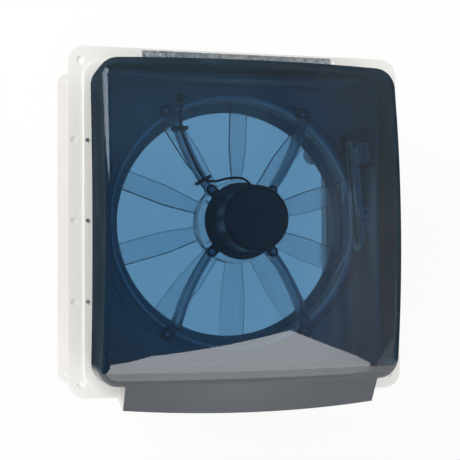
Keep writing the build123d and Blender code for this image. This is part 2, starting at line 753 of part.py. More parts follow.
def strut_ribbon(margin):
    """Plan of the rear right strut, from the motor's ear to its outer end, drawn in by a margin."""
    run_x = STRUT_END_X - MOTOR_EAR_X
    run_y = STRUT_END_Y - MOTOR_EAR_Y
    run = hypot(run_x, run_y)
    along = (run_x / run, run_y / run)
    side = (along[1], -along[0])

    def spot(distance, offset):
        x = MOTOR_EAR_X + along[0] * distance + side[0] * offset
        y = MOTOR_EAR_Y + along[1] * distance + side[1] * offset
        return (x, y)

    near = STRUT_INNER_WIDTH / 2 - margin
    far = STRUT_OUTER_WIDTH / 2 - margin
    middle = (near + far) / 2
    start = margin
    end = run - margin
    edges = [
        ThreePointArc(spot(start, near), spot(run / 2, STRUT_BOW + middle), spot(end, far)),
        Line(spot(end, far), spot(end, -far)),
        ThreePointArc(spot(end, -far), spot(run / 2, STRUT_BOW - middle), spot(start, -near)),
        Line(spot(start, -near), spot(start, near)),
    ]
    return make_face(edges)


def strut_leg():
    """The slanting leg at the strut's outer end, with its foot on the shroud's boss."""
    angle = degrees(atan2(STRUT_END_Y, STRUT_END_X))
    turn = Rot(0, 0, angle)
    reach = hypot(STRUT_END_X, STRUT_END_Y)
    foot_top = SHROUD_LIP_TOP + STRUT_FOOT_THICK
    foot_start = SHROUD_BORE_R + BODY_GAP
    low = turn * Pos(foot_start + STRUT_LEG_THICK / 2, 0, foot_top)
    high = turn * Pos(reach, 0, STRUT_TOP)
    section = Rectangle(STRUT_LEG_THICK, STRUT_OUTER_WIDTH)
    leg = loft([low * section, high * section], ruled=True)
    foot = Box(STRUT_FOOT_LENGTH, STRUT_FOOT_WIDTH, STRUT_FOOT_THICK, align=UPWARD)
    return leg + turn * Pos(foot_start + STRUT_FOOT_LENGTH / 2, 0, SHROUD_LIP_TOP) * foot


def rear_right_strut():
    low = STRUT_TOP - STRUT_DEPTH
    outer = Pos(0, 0, low) * extrude(strut_ribbon(0), STRUT_DEPTH)
    hollow = extrude(strut_ribbon(STRUT_WALL), STRUT_DEPTH - STRUT_WALL + OVERRUN)
    strut = outer - Pos(0, 0, low - OVERRUN) * hollow + strut_leg()
    ear = Pos(MOTOR_EAR_X, MOTOR_EAR_Y, low)
    strut = strut + rod(STRUT_PAD_R, STRUT_DEPTH, ear)
    strut = strut - screw_hole(Pos(MOTOR_EAR_X, MOTOR_EAR_Y, STRUT_TOP), SCREW_SHANK_R, STRUT_DEPTH)
    return strut - screw_hole(strut_foot_places()[0], SMALL_SHANK_R, STRUT_FOOT_THICK)


def mirrored(shape, side_x, side_y):
    """A copy on the given side of each mid-plane."""
    if side_x < 0:
        shape = mirror(shape, Plane.YZ)
    if side_y < 0:
        shape = mirror(shape, Plane.XZ)
    return shape


def motor_screw_places():
    return [Pos(a * MOTOR_EAR_X, b * MOTOR_EAR_Y, MOTOR_CAN_BOTTOM) for a, b in QUARTERS]


def motor_flange():
    flange = rod(MOTOR_FLANGE_R, MOTOR_FLANGE_THICK)
    for a, b in QUARTERS:
        ear = rod(MOTOR_EAR_R, MOTOR_FLANGE_THICK, Pos(a * MOTOR_EAR_X, b * MOTOR_EAR_Y, 0))
        angle = degrees(atan2(b * MOTOR_EAR_Y, a * MOTOR_EAR_X))
        reach = hypot(MOTOR_EAR_X, MOTOR_EAR_Y)
        web = Box(reach, 2 * MOTOR_EAR_R, MOTOR_FLANGE_THICK, align=(Align.MIN, Align.CENTER, Align.MIN))
        flange = flange + ear + Rot(0, 0, angle) * web
    flange = Pos(0, 0, STRUT_TOP) * flange
    for place in motor_screw_places():
        flange = flange - screw_hole(place, SCREW_SHANK_R, MOTOR_FLANGE_THICK)
    bore = Pos(0, 0, STRUT_TOP - OVERRUN)
    return flange - rod(BEARING_R + FIT_GAP, MOTOR_FLANGE_THICK + 2 * OVERRUN, bore)


def motor_can():
    """The motor's deep-drawn case, open at its lower end, with a seat for the upper bearing."""
    can = rod(MOTOR_CAN_R, MOTOR_CAN_HEIGHT)
    can = fillet(can.edges().sort_by(Axis.Z)[-1], MOTOR_CAN_EDGE_R)
    core = rod(MOTOR_CAN_BORE, MOTOR_CAN_HEIGHT - MOTOR_CAN_WALL)
    core = fillet(core.edges().sort_by(Axis.Z)[-1], MOTOR_CAN_EDGE_R - MOTOR_CAN_WALL)
    seat = tube(BEARING_R + MOTOR_CAN_WALL, BEARING_R + FIT_GAP, BEARING_HEIGHT)
    can = can - core + Pos(0, 0, UPPER_BEARING_Z - MOTOR_CAN_BOTTOM) * seat
    can = Pos(0, 0, MOTOR_CAN_BOTTOM) * can
    start = Vector(*LEAD_ROUTE[0])
    run = Vector(*LEAD_ROUTE[1]) - start
    hole = Plane(origin=start - run.normalized() * OVERRUN, z_dir=run).location
    return can - hole * Cylinder(LEAD_R + GROMMET_SLEEVE_GAP, 2 * run.length, align=UPWARD)


def motor_bearings():
    lower = tube(BEARING_R, SHAFT_R + RUNNING_GAP, BEARING_HEIGHT, Pos(0, 0, STRUT_TOP))
    upper = tube(BEARING_R, SHAFT_R + RUNNING_GAP, BEARING_HEIGHT, Pos(0, 0, UPPER_BEARING_Z))
    return as_group([lower, upper])


def motor_magnets():
    """Two curved magnets on the case's inside."""
    outer = MOTOR_CAN_BORE - BODY_GAP
    ring = tube(outer, outer - MAGNET_THICK, ARMATURE_HEIGHT)
    magnets = []
    for centre in (0, 180):
        edge_a = radians(centre - MAGNET_SWEEP / 2)
        edge_b = radians(centre + MAGNET_SWEEP / 2)
        far = 3 * outer
        points = [(0, 0), (far * cos(edge_a), far * sin(edge_a))]
        points += [(far * cos(radians(centre)), far * sin(radians(centre)))]
        points += [(far * cos(edge_b), far * sin(edge_b))]
        wedge = extrude(make_face(Polyline(*points, close=True)), ARMATURE_HEIGHT)
        magnets.append(Pos(0, 0, MOTOR_CAN_BOTTOM + ARMATURE_RISE) * (ring & wedge))
    return as_group(magnets)


def motor_armature():
    core = tube(ARMATURE_R, SHAFT_R + FIT_GAP, ARMATURE_HEIGHT)
    slot = Box(2 * ARMATURE_SLOT_DEPTH, ARMATURE_SLOT_WIDTH, ARMATURE_HEIGHT + 2 * OVERRUN)
    for number in range(ARMATURE_SLOTS):
        turn = Rot(0, 0, 360 * number / ARMATURE_SLOTS)
        core = core - turn * Pos(ARMATURE_R, 0, ARMATURE_HEIGHT / 2) * slot
    return Pos(0, 0, MOTOR_CAN_BOTTOM + ARMATURE_RISE) * core


def motor_shaft():
    bottom = HUB_BOTTOM - NUT_HEIGHT - SHAFT_TAIL
    return rod(SHAFT_R, UPPER_BEARING_Z + BEARING_HEIGHT - BODY_GAP - bottom, Pos(0, 0, bottom))


# Fan


def blade_section(radius, width):
    """A pitched flat section of a blade, square to its span."""
    length = hypot(width, 2 * FAN_HALF_DEPTH)
    pitch = degrees(atan2(2 * FAN_HALF_DEPTH, width))
    plane = Plane(origin=(radius, 0, FAN_MID_Z), x_dir=(0, 1, 0), z_dir=(1, 0, 0))
    return plane * Rot(0, 0, pitch) * Rectangle(length, FAN_BLADE_THICK)


def fan_blade():
    root = blade_section(HUB_R - HUB_WALL * 2 / 3, FAN_BLADE_ROOT_WIDTH)
    shoulder = blade_section(FAN_BLADE_SHOULDER_R, FAN_BLADE_WIDTH)
    tip = blade_section(FAN_TIP_R, FAN_BLADE_WIDTH)
    return loft([root, shoulder, tip], ruled=True)


def fan_rotor():
    """Hub cup, boss, ribs and blades in one moulding."""
    height = HUB_TOP - HUB_BOTTOM
    cup = rod(HUB_R, height, Pos(0, 0, HUB_BOTTOM))
    cup = fillet(cup.edges().sort_by(Axis.Z)[-1], HUB_EDGE_R)
    cup = cup - rod(HUB_R - HUB_WALL, height - HUB_WALL + OVERRUN, Pos(0, 0, HUB_BOTTOM - OVERRUN))
    cup = cup + rod(HUB_BOSS_R, height, Pos(0, 0, HUB_BOTTOM))
    rib_z = (HUB_BOTTOM + HUB_WALL, HUB_TOP - HUB_WALL / 2)
    rib = span_box((0, HUB_R - HUB_WALL / 2), (-HUB_WALL / 3, HUB_WALL / 3), rib_z)
    for number in range(HUB_RIBS):
        cup = cup + Rot(0, 0, 360 * number / HUB_RIBS) * rib
    for number in range(FAN_BLADES):
        cup = cup + Rot(0, 0, FAN_FIRST_ANGLE + 360 * number / FAN_BLADES) * fan_blade()
    bore = Pos(0, 0, HUB_BOTTOM - OVERRUN)
    return cup - rod(SHAFT_R + FIT_GAP, height + 2 * OVERRUN, bore)


def fan_nut():
    nut = extrude(RegularPolygon(NUT_ACROSS_R, 6), NUT_HEIGHT)
    nut = nut - rod(SHAFT_R + FIT_GAP, NUT_HEIGHT + 2 * OVERRUN, Pos(0, 0, -OVERRUN))
    return Pos(0, 0, HUB_BOTTOM - NUT_HEIGHT) * nut


# Motor lead


def lead_grommet_centre():
    """Where the lead passes the shroud plate."""
    passing = [point for point in LEAD_ROUTE if point[2] < SHROUD_LIP_TOP][0]
    return passing[0], passing[1]


def lead_radii():
    """One bend radius for each inner point, as large as its two runs allow."""
    points = [Vector(*point) for point in LEAD_ROUTE]
    radii = []
    for before, corner, after in zip(points, points[1:], points[2:]):
        run_in = corner - before
        run_out = after - corner
        shorter = min(run_in.length, run_out.length)
        turn = run_in.get_angle(run_out)
        radii.append(LEAD_BEND_SHARE * shorter / tan(radians(turn / 2)))
    return radii


def motor_lead():
    radii = lead_radii()
    path = FilletPolyline(*LEAD_ROUTE, radius=radii)
    section = Plane(origin=path @ 0, z_dir=path % 0) * Circle(LEAD_R)
    lead = sweep(section, path=path)
    print("lead bend radii", [round(radius, 1) for radius in radii])
    straight = pi * LEAD_R**2 * path.length
    print("lead volume", round(lead.volume, 1), "section times length", round(straight, 1))
    return lead


def lead_grommet():
    """A rubber bush with a flange on each face of the shroud plate."""
    x, y = lead_grommet_centre()
    bore = LEAD_R + GROMMET_SLEEVE_GAP
    sleeve_r = LEAD_R + GROMMET_WALL
    rim_r = sleeve_r + GROMMET_FLANGE
    sleeve = tube(sleeve_r, bore, SHROUD_PLATE_THICK, Pos(x, y, SHROUD_PLATE_BOTTOM))
    top = tube(rim_r, bore, GROMMET_FLANGE, Pos(x, y, SHROUD_PLATE_TOP))
    bottom = tube(rim_r, bore, GROMMET_FLANGE, Pos(x, y, SHROUD_PLATE_BOTTOM - GROMMET_FLANGE))
    return sleeve + top + bottom


def supply_grommet():
    """The open grommet in the neck for the vehicle's supply."""
    sleeve_r = SUPPLY_BORE_R + GROMMET_WALL
    left = -NECK_SIDE / 2
    sleeve = tube(sleeve_r, SUPPLY_BORE_R, NECK_WALL, along_x(left, SUPPLY_Y, SUPPLY_Z))
    inside = along_x(left + NECK_WALL, SUPPLY_Y, SUPPLY_Z)
    outside = along_x(left - GROMMET_FLANGE, SUPPLY_Y, SUPPLY_Z)
    inner = tube(sleeve_r + GROMMET_FLANGE, SUPPLY_BORE_R, GROMMET_FLANGE, inside)
    outer = tube(sleeve_r + GROMMET_FLANGE, SUPPLY_BORE_R, GROMMET_FLANGE, outside)
    return sleeve + inner + outer


def cable_ties():
    """Two ties that hold the lead down on the rear left strut."""
    ties = []
    for index in LEAD_TIE_POINTS:
        here = Vector(*LEAD_ROUTE[index])
        step = Vector(*LEAD_ROUTE[index + 1]) - here
        angle = degrees(atan2(step.Y, step.X))
        inner_width = STRUT_OUTER_WIDTH + 2 * LEAD_R + 2 * BODY_GAP
        top = here.Z + LEAD_R + BODY_GAP
        bottom = STRUT_TOP - STRUT_DEPTH - BODY_GAP
        height = top - bottom
        outer = Box(TIE_WIDTH, inner_width + 2 * TIE_THICK, height + 2 * TIE_THICK)
        inner = Box(TIE_WIDTH + 2 * OVERRUN, inner_width, height)
        place = Pos(here.X, here.Y, (top + bottom) / 2) * Rot(0, 0, angle)
        ties.append(place * (outer - inner))
    return as_group(ties)


# Lid lift


def ray_place(distance, x):
    """A place on the ray from the hinge through the arm's pivot, facing right, its X axis along the ray."""
    y = HINGE_Y + distance * RAY_Y
    z = HINGE_Z + distance * RAY_Z
    return Plane(origin=(x, y, z), x_dir=(0, RAY_Y, RAY_Z), z_dir=(1, 0, 0)).location


def track_slot_ends():
    """How far from the hinge the slot starts and ends."""
    nearest = 2 * ARM_LENGTH * cos(radians(LID_OPEN_ANGLE))
    farthest = 2 * ARM_LENGTH
    room = ARM_PIN_R + TRACK_RUNOUT
    return nearest - room, farthest + room


def track_plate():
    """The slotted plate that hangs from the lid, cut to the crown's curve at its feet."""
    start, end = track_slot_ends()
    half_slot = ARM_PIN_R + TRACK_SLOT_GAP
    length = end - start + 2 * TRACK_BORDER
    width = 2 * (half_slot + TRACK_BORDER)
    middle = ray_place((start + end) / 2, TRACK_X)
    bar = middle * extrude(RectangleRounded(length, width, TRACK_BORDER), TRACK_THICK)
    slot = SlotOverall(end - start, 2 * half_slot)
    plate = bar
    for foot_y in TRACK_FOOT_Y:
        y_span = (foot_y - TRACK_FOOT_WIDTH / 2, foot_y + TRACK_FOOT_WIDTH / 2)
        distance = (HINGE_Y - foot_y) / -RAY_Y
        low = HINGE_Z + distance * RAY_Z
        hanger = span_box((TRACK_X, TRACK_X + TRACK_THICK), y_span, (low, LID_TOP))
        pad = span_box((TRACK_X - TRACK_FOOT_REACH, TRACK_X + TRACK_THICK), y_span, (low, LID_TOP))
        under_crown = Pos(0, 0, CROWN_CENTRE) * Sphere(LID_CROWN_R - LID_WALL - TRACK_FOOT_THICK - FIT_GAP)
        plate = plate + hanger + (pad - under_crown)
    crown = Pos(0, 0, CROWN_CENTRE) * Sphere(LID_CROWN_R - LID_WALL - FIT_GAP)
    plate = plate & crown
    plate = plate - middle * Pos(0, 0, -OVERRUN) * extrude(slot, TRACK_THICK + 2 * OVERRUN)
    for place in track_screw_places():
        plate = plate - screw_hole(place, SMALL_SHANK_R, SMALL_SHANK_LENGTH)
    return plate


def lift_arm():
    """The flat arm from the pivot shaft to the pin in the track."""
    start = ray_place(ARM_LENGTH, ARM_X)
    end = ray_place(2 * ARM_LENGTH, ARM_X)
    middle = ray_place(ARM_LENGTH * 3 / 2, ARM_X)
    half_start = ARM_BOSS_R
    half_end = ARM_END_R
    half = ARM_LENGTH / 2
    points = [(-half, -half_start), (half, -half_end), (half, half_end), (-half, half_start)]
    arm = middle * extrude(make_face(Polyline(*points, close=True)), ARM_THICK)
    arm = arm + rod(ARM_BOSS_R, ARM_THICK, start) + rod(ARM_END_R, ARM_THICK, end)
    for place, radius in ((start, PIVOT_SHAFT_R), (end, ARM_PIN_R)):
        arm = arm - rod(radius + FIT_GAP, ARM_THICK + 2 * OVERRUN, place * Pos(0, 0, -OVERRUN))
    return arm


def arm_pin():
    """The pin through the arm and the track, with a head at each end."""
    inner_end = TRACK_X - BODY_GAP
    outer_end = ARM_X + ARM_THICK
    pin = rod(ARM_PIN_R, outer_end - inner_end, ray_place(2 * ARM_LENGTH, inner_end))
    head = rod(PIN_HEAD_R, PIN_HEAD_THICK, ray_place(2 * ARM_LENGTH, inner_end - PIN_HEAD_THICK))
    cap = rod(PIN_HEAD_R, PIN_HEAD_THICK / 2, ray_place(2 * ARM_LENGTH, outer_end))
    return pin + head + cap


def pivot_shaft():
    """The shaft from the arm into the gear case, with a head outside the arm."""
    end = WHEEL_X + WHEEL_WIDTH
    shaft = rod(PIVOT_SHAFT_R, end - ARM_X, ray_place(ARM_LENGTH, ARM_X))
    head_thick = PIN_HEAD_THICK / 2
    head = rod(ARM_BOSS_R * 2 / 3, head_thick, ray_place(ARM_LENGTH, ARM_X - head_thick))
    return shaft + head


def tooth_half_width(height):
    """Half of a tooth's width at a height over the pitch line."""
    return GEAR_PITCH / 4 - GEAR_BACKLASH / 4 - height * tan(radians(PRESSURE_ANGLE))


def wheel_face():
    """The wheel's toothed outline, with a gap towards the worm."""
    root_r = WHEEL_R - GEAR_DEDENDUM
    tip_r = WHEEL_R + GEAR_ADDENDUM
    points = []
    for number in range(WHEEL_TEETH):
        centre = 2 * pi * (number + 0.5) / WHEEL_TEETH
        half_root = tooth_half_width(-GEAR_DEDENDUM) / root_r
        half_tip = tooth_half_width(GEAR_ADDENDUM) / tip_r
        tooth = ((root_r, -half_root), (tip_r, -half_tip), (tip_r, half_tip), (root_r, half_root))
        for radius, offset in tooth:
            points.append((radius * cos(centre + offset), radius * sin(centre + offset)))
    return make_face(Polyline(*points, close=True))


def worm_wheel():
    """The wheel, its teeth twisted to lie along the worm's thread."""
    lead_slope = GEAR_PITCH / (2 * pi * WORM_R)
    twist = degrees(lead_slope * WHEEL_WIDTH / 2 / WHEEL_R)
    sections = []
    for side in (-1, 1):
        origin = (WORM_X + side * WHEEL_WIDTH / 2, PIVOT_Y, PIVOT_Z)
        plane = Plane(origin=origin, x_dir=(0, 1, 0), z_dir=(1, 0, 0))
        sections.append(plane * Rot(0, 0, side * twist) * wheel_face())
    wheel = loft(sections, ruled=True)
    bore = along_x(WHEEL_X - OVERRUN, PIVOT_Y, PIVOT_Z)
    return wheel - rod(PIVOT_SHAFT_R + FIT_GAP, WHEEL_WIDTH + 2 * OVERRUN, bore)


def worm_thread():
    """The worm's thread, placed so that it lies in the wheel's gap."""
    core_r = WORM_R - GEAR_DEDENDUM
    path = Helix(GEAR_PITCH, WORM_TURNS * GEAR_PITCH, core_r)
    root = tooth_half_width(-GEAR_DEDENDUM)
    tip = tooth_half_width(GEAR_ADDENDUM)
    depth = GEAR_DEDENDUM + GEAR_ADDENDUM
    sunk = -GEAR_DEDENDUM / 2
    points = [(sunk, -root), (0, -root), (depth, -tip), (depth, tip), (0, root), (sunk, root)]
    plane = Plane(origin=path @ 0, x_dir=(1, 0, 0), z_dir=path % 0)
    thread = sweep(plane * make_face(Polyline(*points, close=True)), path=path, is_frenet=True)
    quarter_turn_on = (WORM_TURNS / 2) * GEAR_PITCH
    return Pos(WORM_X, WORM_Y, PIVOT_Z - quarter_turn_on) * thread


def worm_shaft():
    """The vertical shaft with its worm, down to the crank knob."""
    bottom = KNOB_BOTTOM + KNOB_HEIGHT / 3
    top = CASE_TOP - CASE_WALL - BODY_GAP
    shaft = rod(WORM_SHAFT_R, top - bottom, Pos(WORM_X, WORM_Y, bottom))
    half = (WORM_TURNS + 1) / 2 * GEAR_PITCH
    core = rod(WORM_R - GEAR_DEDENDUM, 2 * half, Pos(WORM_X, WORM_Y, PIVOT_Z - half))
    return shaft + core + worm_thread()


def pedestal_front():
    """Front of the pedestal under the gear case."""
    return CASE_REAR - (CASE_REAR - CASE_FRONT) * CASE_PEDESTAL_SHARE


def case_foot_places():
    """Screws through the gear case's foot into the shroud plate."""
    x = CASE_FOOT_END - SCREW_HEAD_R
    rows = (CASE_REAR - 2 * SCREW_HEAD_R, pedestal_front() + SCREW_HEAD_R)
    return [Pos(x, y, SHROUD_PLATE_TOP + CASE_FOOT_THICK) for y in rows]


def case_cover_places():
    """Screws through the gear case's cover, at two opposite corners."""
    x = CASE_X + CASE_DEPTH + CASE_COVER_THICK
    inset = SMALL_HEAD_R
    spots = ((CASE_FRONT + inset, CASE_TOP - inset), (CASE_FRONT + inset, CASE_BOTTOM + inset))
    return [along_x(x, y, z) for y, z in spots]


def gear_case_body():
    """The case round wheel and worm, its pedestal and its foot on the shroud plate."""
    far = CASE_X + CASE_DEPTH
    case = span_box((CASE_X, far), (CASE_FRONT, CASE_REAR), (CASE_BOTTOM, CASE_TOP))
    y_span = (pedestal_front(), CASE_REAR)
    case = case + span_box((CASE_X, far), y_span, (SHROUD_PLATE_TOP, CASE_BOTTOM + CASE_WALL))
    foot_span = (SHROUD_PLATE_TOP, SHROUD_PLATE_TOP + CASE_FOOT_THICK)
    case = case + span_box((CASE_X, CASE_FOOT_END), y_span, foot_span)
    depth = CASE_DEPTH - CASE_WALL + OVERRUN
    case = case - rod(CASE_RADIUS, depth, along_x(CASE_X + CASE_WALL, PIVOT_Y, PIVOT_Z))
    room_z = (PIVOT_Z - CASE_RADIUS, PIVOT_Z + CASE_RADIUS)
    room_y = (PIVOT_Y, WORM_Y + WORM_ROOM)
    case = case - span_box((CASE_X + CASE_WALL, far + OVERRUN), room_y, room_z)
    low = SHROUD_PLATE_TOP - OVERRUN
    run = CASE_BOTTOM + 2 * CASE_WALL - low
    case = case - rod(WORM_SHAFT_R + BUSH_WALL + FIT_GAP, run, Pos(WORM_X, WORM_Y, low))
    bore = along_x(CASE_X - OVERRUN, PIVOT_Y, PIVOT_Z)
    case = case - rod(PIVOT_SHAFT_R + BUSH_WALL + FIT_GAP, CASE_WALL + 2 * OVERRUN, bore)
    for place in case_cover_places():
        case = case - screw_hole(place, SMALL_SHANK_R, CASE_COVER_THICK + SMALL_SHANK_LENGTH)
    for place in case_foot_places():
        case = case - screw_hole(place, SMALL_SHANK_R, CASE_FOOT_THICK)
    return case


def gear_case_cover():
    start = CASE_X + CASE_DEPTH
    x_span = (start, start + CASE_COVER_THICK)
    cover = span_box(x_span, (CASE_FRONT, CASE_REAR), (CASE_BOTTOM, CASE_TOP))
    for place in case_cover_places():
        cover = cover - screw_hole(place, SMALL_SHANK_R, CASE_COVER_THICK)
    return cover


def gear_bushes():
    """Plain bushes for the pivot shaft and for the worm shaft."""
    pivot = along_x(CASE_X - BODY_GAP, PIVOT_Y, PIVOT_Z)
    first = tube(PIVOT_SHAFT_R + BUSH_WALL, PIVOT_SHAFT_R + RUNNING_GAP, CASE_WALL + BODY_GAP, pivot)
    upright = Pos(WORM_X, WORM_Y, CASE_BOTTOM - CASE_WALL)
    second = tube(WORM_SHAFT_R + BUSH_WALL, WORM_SHAFT_R + RUNNING_GAP, 2 * CASE_WALL, upright)
    return as_group([first, second])


# Crank and speed knob


def fluted_knob(radius, height, place):
    """A round knob with grip flutes, its lower edge rounded."""
    knob = rod(radius, height)
    knob = fillet(knob.edges().sort_by(Axis.Z)[0], KNOB_EDGE_R)
    for number in range(KNOB_GRIPS):
        turn = Rot(0, 0, 360 * number / KNOB_GRIPS)
        flute = rod(KNOB_GRIP_R, height + 2 * OVERRUN, Pos(radius + KNOB_GRIP_R / 2, 0, -OVERRUN))
        knob = knob - turn * flute
    return place * knob


def crank_knob():
    knob = fluted_knob(KNOB_R, KNOB_HEIGHT, Pos(WORM_X, WORM_Y, KNOB_BOTTOM))
    socket_z = KNOB_BOTTOM + KNOB_HEIGHT / 3 - FIT_GAP
    knob = knob - rod(WORM_SHAFT_R + FIT_GAP, KNOB_HEIGHT, Pos(WORM_X, WORM_Y, socket_z))
    hole = facing_down(WORM_X, WORM_Y, KNOB_BOTTOM + SCREW_HEAD_RISE)
    knob = knob - screw_hole(hole, SCREW_SHANK_R, KNOB_HEIGHT / 3)
    return knob - rod(SCREW_HEAD_R + FIT_GAP, SCREW_HEAD_RISE + OVERRUN, hole)


def crank_screw():
    """The screw that holds the knob on its shaft, its head sunk into the knob."""
    length = KNOB_HEIGHT / 3 - SCREW_HEAD_RISE - 2 * FIT_GAP
    place = facing_down(WORM_X, WORM_Y, KNOB_BOTTOM + SCREW_HEAD_RISE)
    return screw(place, SCREW_HEAD_R, SCREW_HEAD_RISE, SCREW_SHANK_R, length)


def speed_knob():
    """The speed knob with its pointer and its shaft up into the control box."""
    knob = fluted_knob(SPEED_KNOB_R, SPEED_KNOB_HEIGHT, Pos(SPEED_X, SPEED_Y, SPEED_KNOB_BOTTOM))
    pointer = span_box((-SPEED_POINTER / 2, SPEED_POINTER / 2), (0, SPEED_KNOB_R), (0, SPEED_POINTER))
    knob = knob + Pos(SPEED_X, SPEED_Y, SPEED_KNOB_BOTTOM - SPEED_POINTER / 2) * pointer
    start = SPEED_KNOB_BOTTOM + SPEED_KNOB_HEIGHT / 2
    top = (LEDGE_TOP + BOX_TOP) / 2
    return knob + rod(SPEED_SHAFT_R, top - start, Pos(SPEED_X, SPEED_Y, start))


def control_box():
    """A closed case on the ledge, with openings for the speed shaft, the fuse and the lead."""
    x_span = (-BOX_OUTER_X, -BOX_INNER_X)
    y_span = (BOX_FRONT, BOX_REAR)
    box = span_box(x_span, y_span, (LEDGE_TOP, BOX_TOP))
    box = fillet(box.edges().filter_by(Axis.Z), BOX_EDGE_R)
    inner_x = (-BOX_OUTER_X + BOX_WALL, -BOX_INNER_X - BOX_WALL)
    inner_y = (BOX_FRONT + BOX_WALL, BOX_REAR - BOX_WALL)
    box = box - span_box(inner_x, inner_y, (LEDGE_TOP + BOX_WALL, BOX_TOP - BOX_WALL))
    shaft = Pos(SPEED_X, SPEED_Y, LEDGE_TOP - OVERRUN)
    box = box - rod(SPEED_SHAFT_R + RUNNING_GAP, BOX_WALL + 2 * OVERRUN, shaft)
    depth = BOX_WALL + 2 * OVERRUN
    x, y, z = LEAD_ROUTE[-1]
    box = box - rod(LEAD_R + GROMMET_SLEEVE_GAP, depth, Pos(x, y, z - BOX_WALL - OVERRUN))
    return box - rod(FUSE_SHANK_R + FIT_GAP, depth, fuse_place() * Pos(0, 0, -BOX_WALL - OVERRUN))


def fuse_place():
    """Centre of the fuse cap's seat on the control box's inner face."""
    return along_x(-BOX_INNER_X, BOX_FRONT + 2 * FUSE_R, (LEDGE_TOP + BOX_TOP) / 2)


def fuse_cap():
    place = fuse_place()
    shank = place * Cylinder(FUSE_SHANK_R, FUSE_SHANK_LENGTH, align=DOWNWARD)
    cap = rod(FUSE_R, FUSE_REACH, place) + shank
    slot = Box(2 * FUSE_R + OVERRUN, FUSE_SLOT, 2 * FUSE_SLOT)
    return cap - place * Pos(0, 0, FUSE_REACH) * slot


# Interior trim and insect screen


def button_sides():
    """The four sides of the screen that carry a turn button, by name."""
    return {"right": 0, "rear": 90, "left": 180, "front": 270}


def trim_frame():
    """Trim plate, upstand and screen ledge in one moulding."""
    plate = rounded_plate(TRIM_SIDE, TRIM_SIDE, TRIM_CORNER_R, TRIM_BOTTOM, TRIM_TOP)
    rim_side = TRIM_SIDE - 2 * TRIM_RIM_WIDTH
    rim_top = TRIM_TOP - TRIM_RIM_DEPTH
    rim_r = TRIM_CORNER_R - TRIM_RIM_WIDTH
    cut_side = TRIM_SIDE + OVERRUN
    rim_cut = rounded_plate(cut_side, cut_side, TRIM_CORNER_R, rim_top, TRIM_TOP + OVERRUN)
    field = rounded_plate(rim_side, rim_side, rim_r, TRIM_BOTTOM, TRIM_TOP + 2 * OVERRUN)
    plate = plate - (rim_cut - field)
    side = UPSTAND_SIDE
    frame = plate + rounded_plate(side, side, UPSTAND_CORNER_R, TRIM_BOTTOM, UPSTAND_TOP)
    side = UPSTAND_INNER
    inner_r = UPSTAND_CORNER_R - UPSTAND_WALL
    upper = rounded_plate(side, side, inner_r, LEDGE_TOP, UPSTAND_TOP + OVERRUN)
    lower = rounded_plate(side, side, inner_r, TRIM_BOTTOM - OVERRUN, LEDGE_BOTTOM)
    side = LEDGE_SIDE
    opening = rounded_plate(side, side, LEDGE_CORNER_R, LEDGE_BOTTOM - OVERRUN, LEDGE_TOP + OVERRUN)
    frame = frame - upper - lower - opening
    for angle in button_sides().values():
        top = Rot(0, 0, angle) * Pos(BUTTON_PIVOT, 0, BUTTON_TOP)
        frame = frame + rod(BUTTON_BOSS_R, LEDGE_BOTTOM - BUTTON_TOP, top)
        hole = Rot(0, 0, angle) * facing_down(BUTTON_PIVOT, 0, BUTTON_TOP)
        frame = frame - screw_hole(hole, BUTTON_SHANK_R, SCREEN_THICK)
    for side_x, side_y in QUARTERS:
        place = Pos(side_x * TRIM_HOLE_PITCH / 2, side_y * TRIM_HOLE_PITCH / 2, TRIM_BOTTOM - OVERRUN)
        frame = frame - rod(TRIM_HOLE_R, TRIM_THICK + 2 * OVERRUN, place)
    for place in trim_screw_places():
        frame = frame - screw_hole(place, SCREW_SHANK_R, UPSTAND_WALL + OVERRUN)
    return frame - shaft_holes(LEDGE_BOTTOM, LEDGE_TOP)


def shaft_holes(bottom, top):
    """Clearance holes for the crank shaft and the speed shaft."""
    depth = top - bottom + 2 * OVERRUN
    crank = rod(WORM_SHAFT_R + THROUGH_GAP, depth, Pos(WORM_X, WORM_Y, bottom - OVERRUN))
    speed = rod(SPEED_SHAFT_R + THROUGH_GAP, depth, Pos(SPEED_X, SPEED_Y, bottom - OVERRUN))
    return crank + speed


def insect_screen_frame():
    frame = rounded_plate(SCREEN_SIDE, SCREEN_SIDE, SCREEN_CORNER_R, SCREEN_BOTTOM, LEDGE_BOTTOM)
    low = SCREEN_BOTTOM - OVERRUN
    high = LEDGE_BOTTOM + OVERRUN
    opening = rounded_plate(SCREEN_OPENING, SCREEN_OPENING, SCREEN_OPENING_R, low, high)
    seat_side = SCREEN_OPENING + 2 * NET_SEAT
    seat_r = SCREEN_OPENING_R + NET_SEAT
    seat = rounded_plate(seat_side, seat_side, seat_r, LEDGE_BOTTOM - 2 * NET_THICK, high)
    return frame - opening - seat - shaft_holes(SCREEN_BOTTOM, LEDGE_BOTTOM)


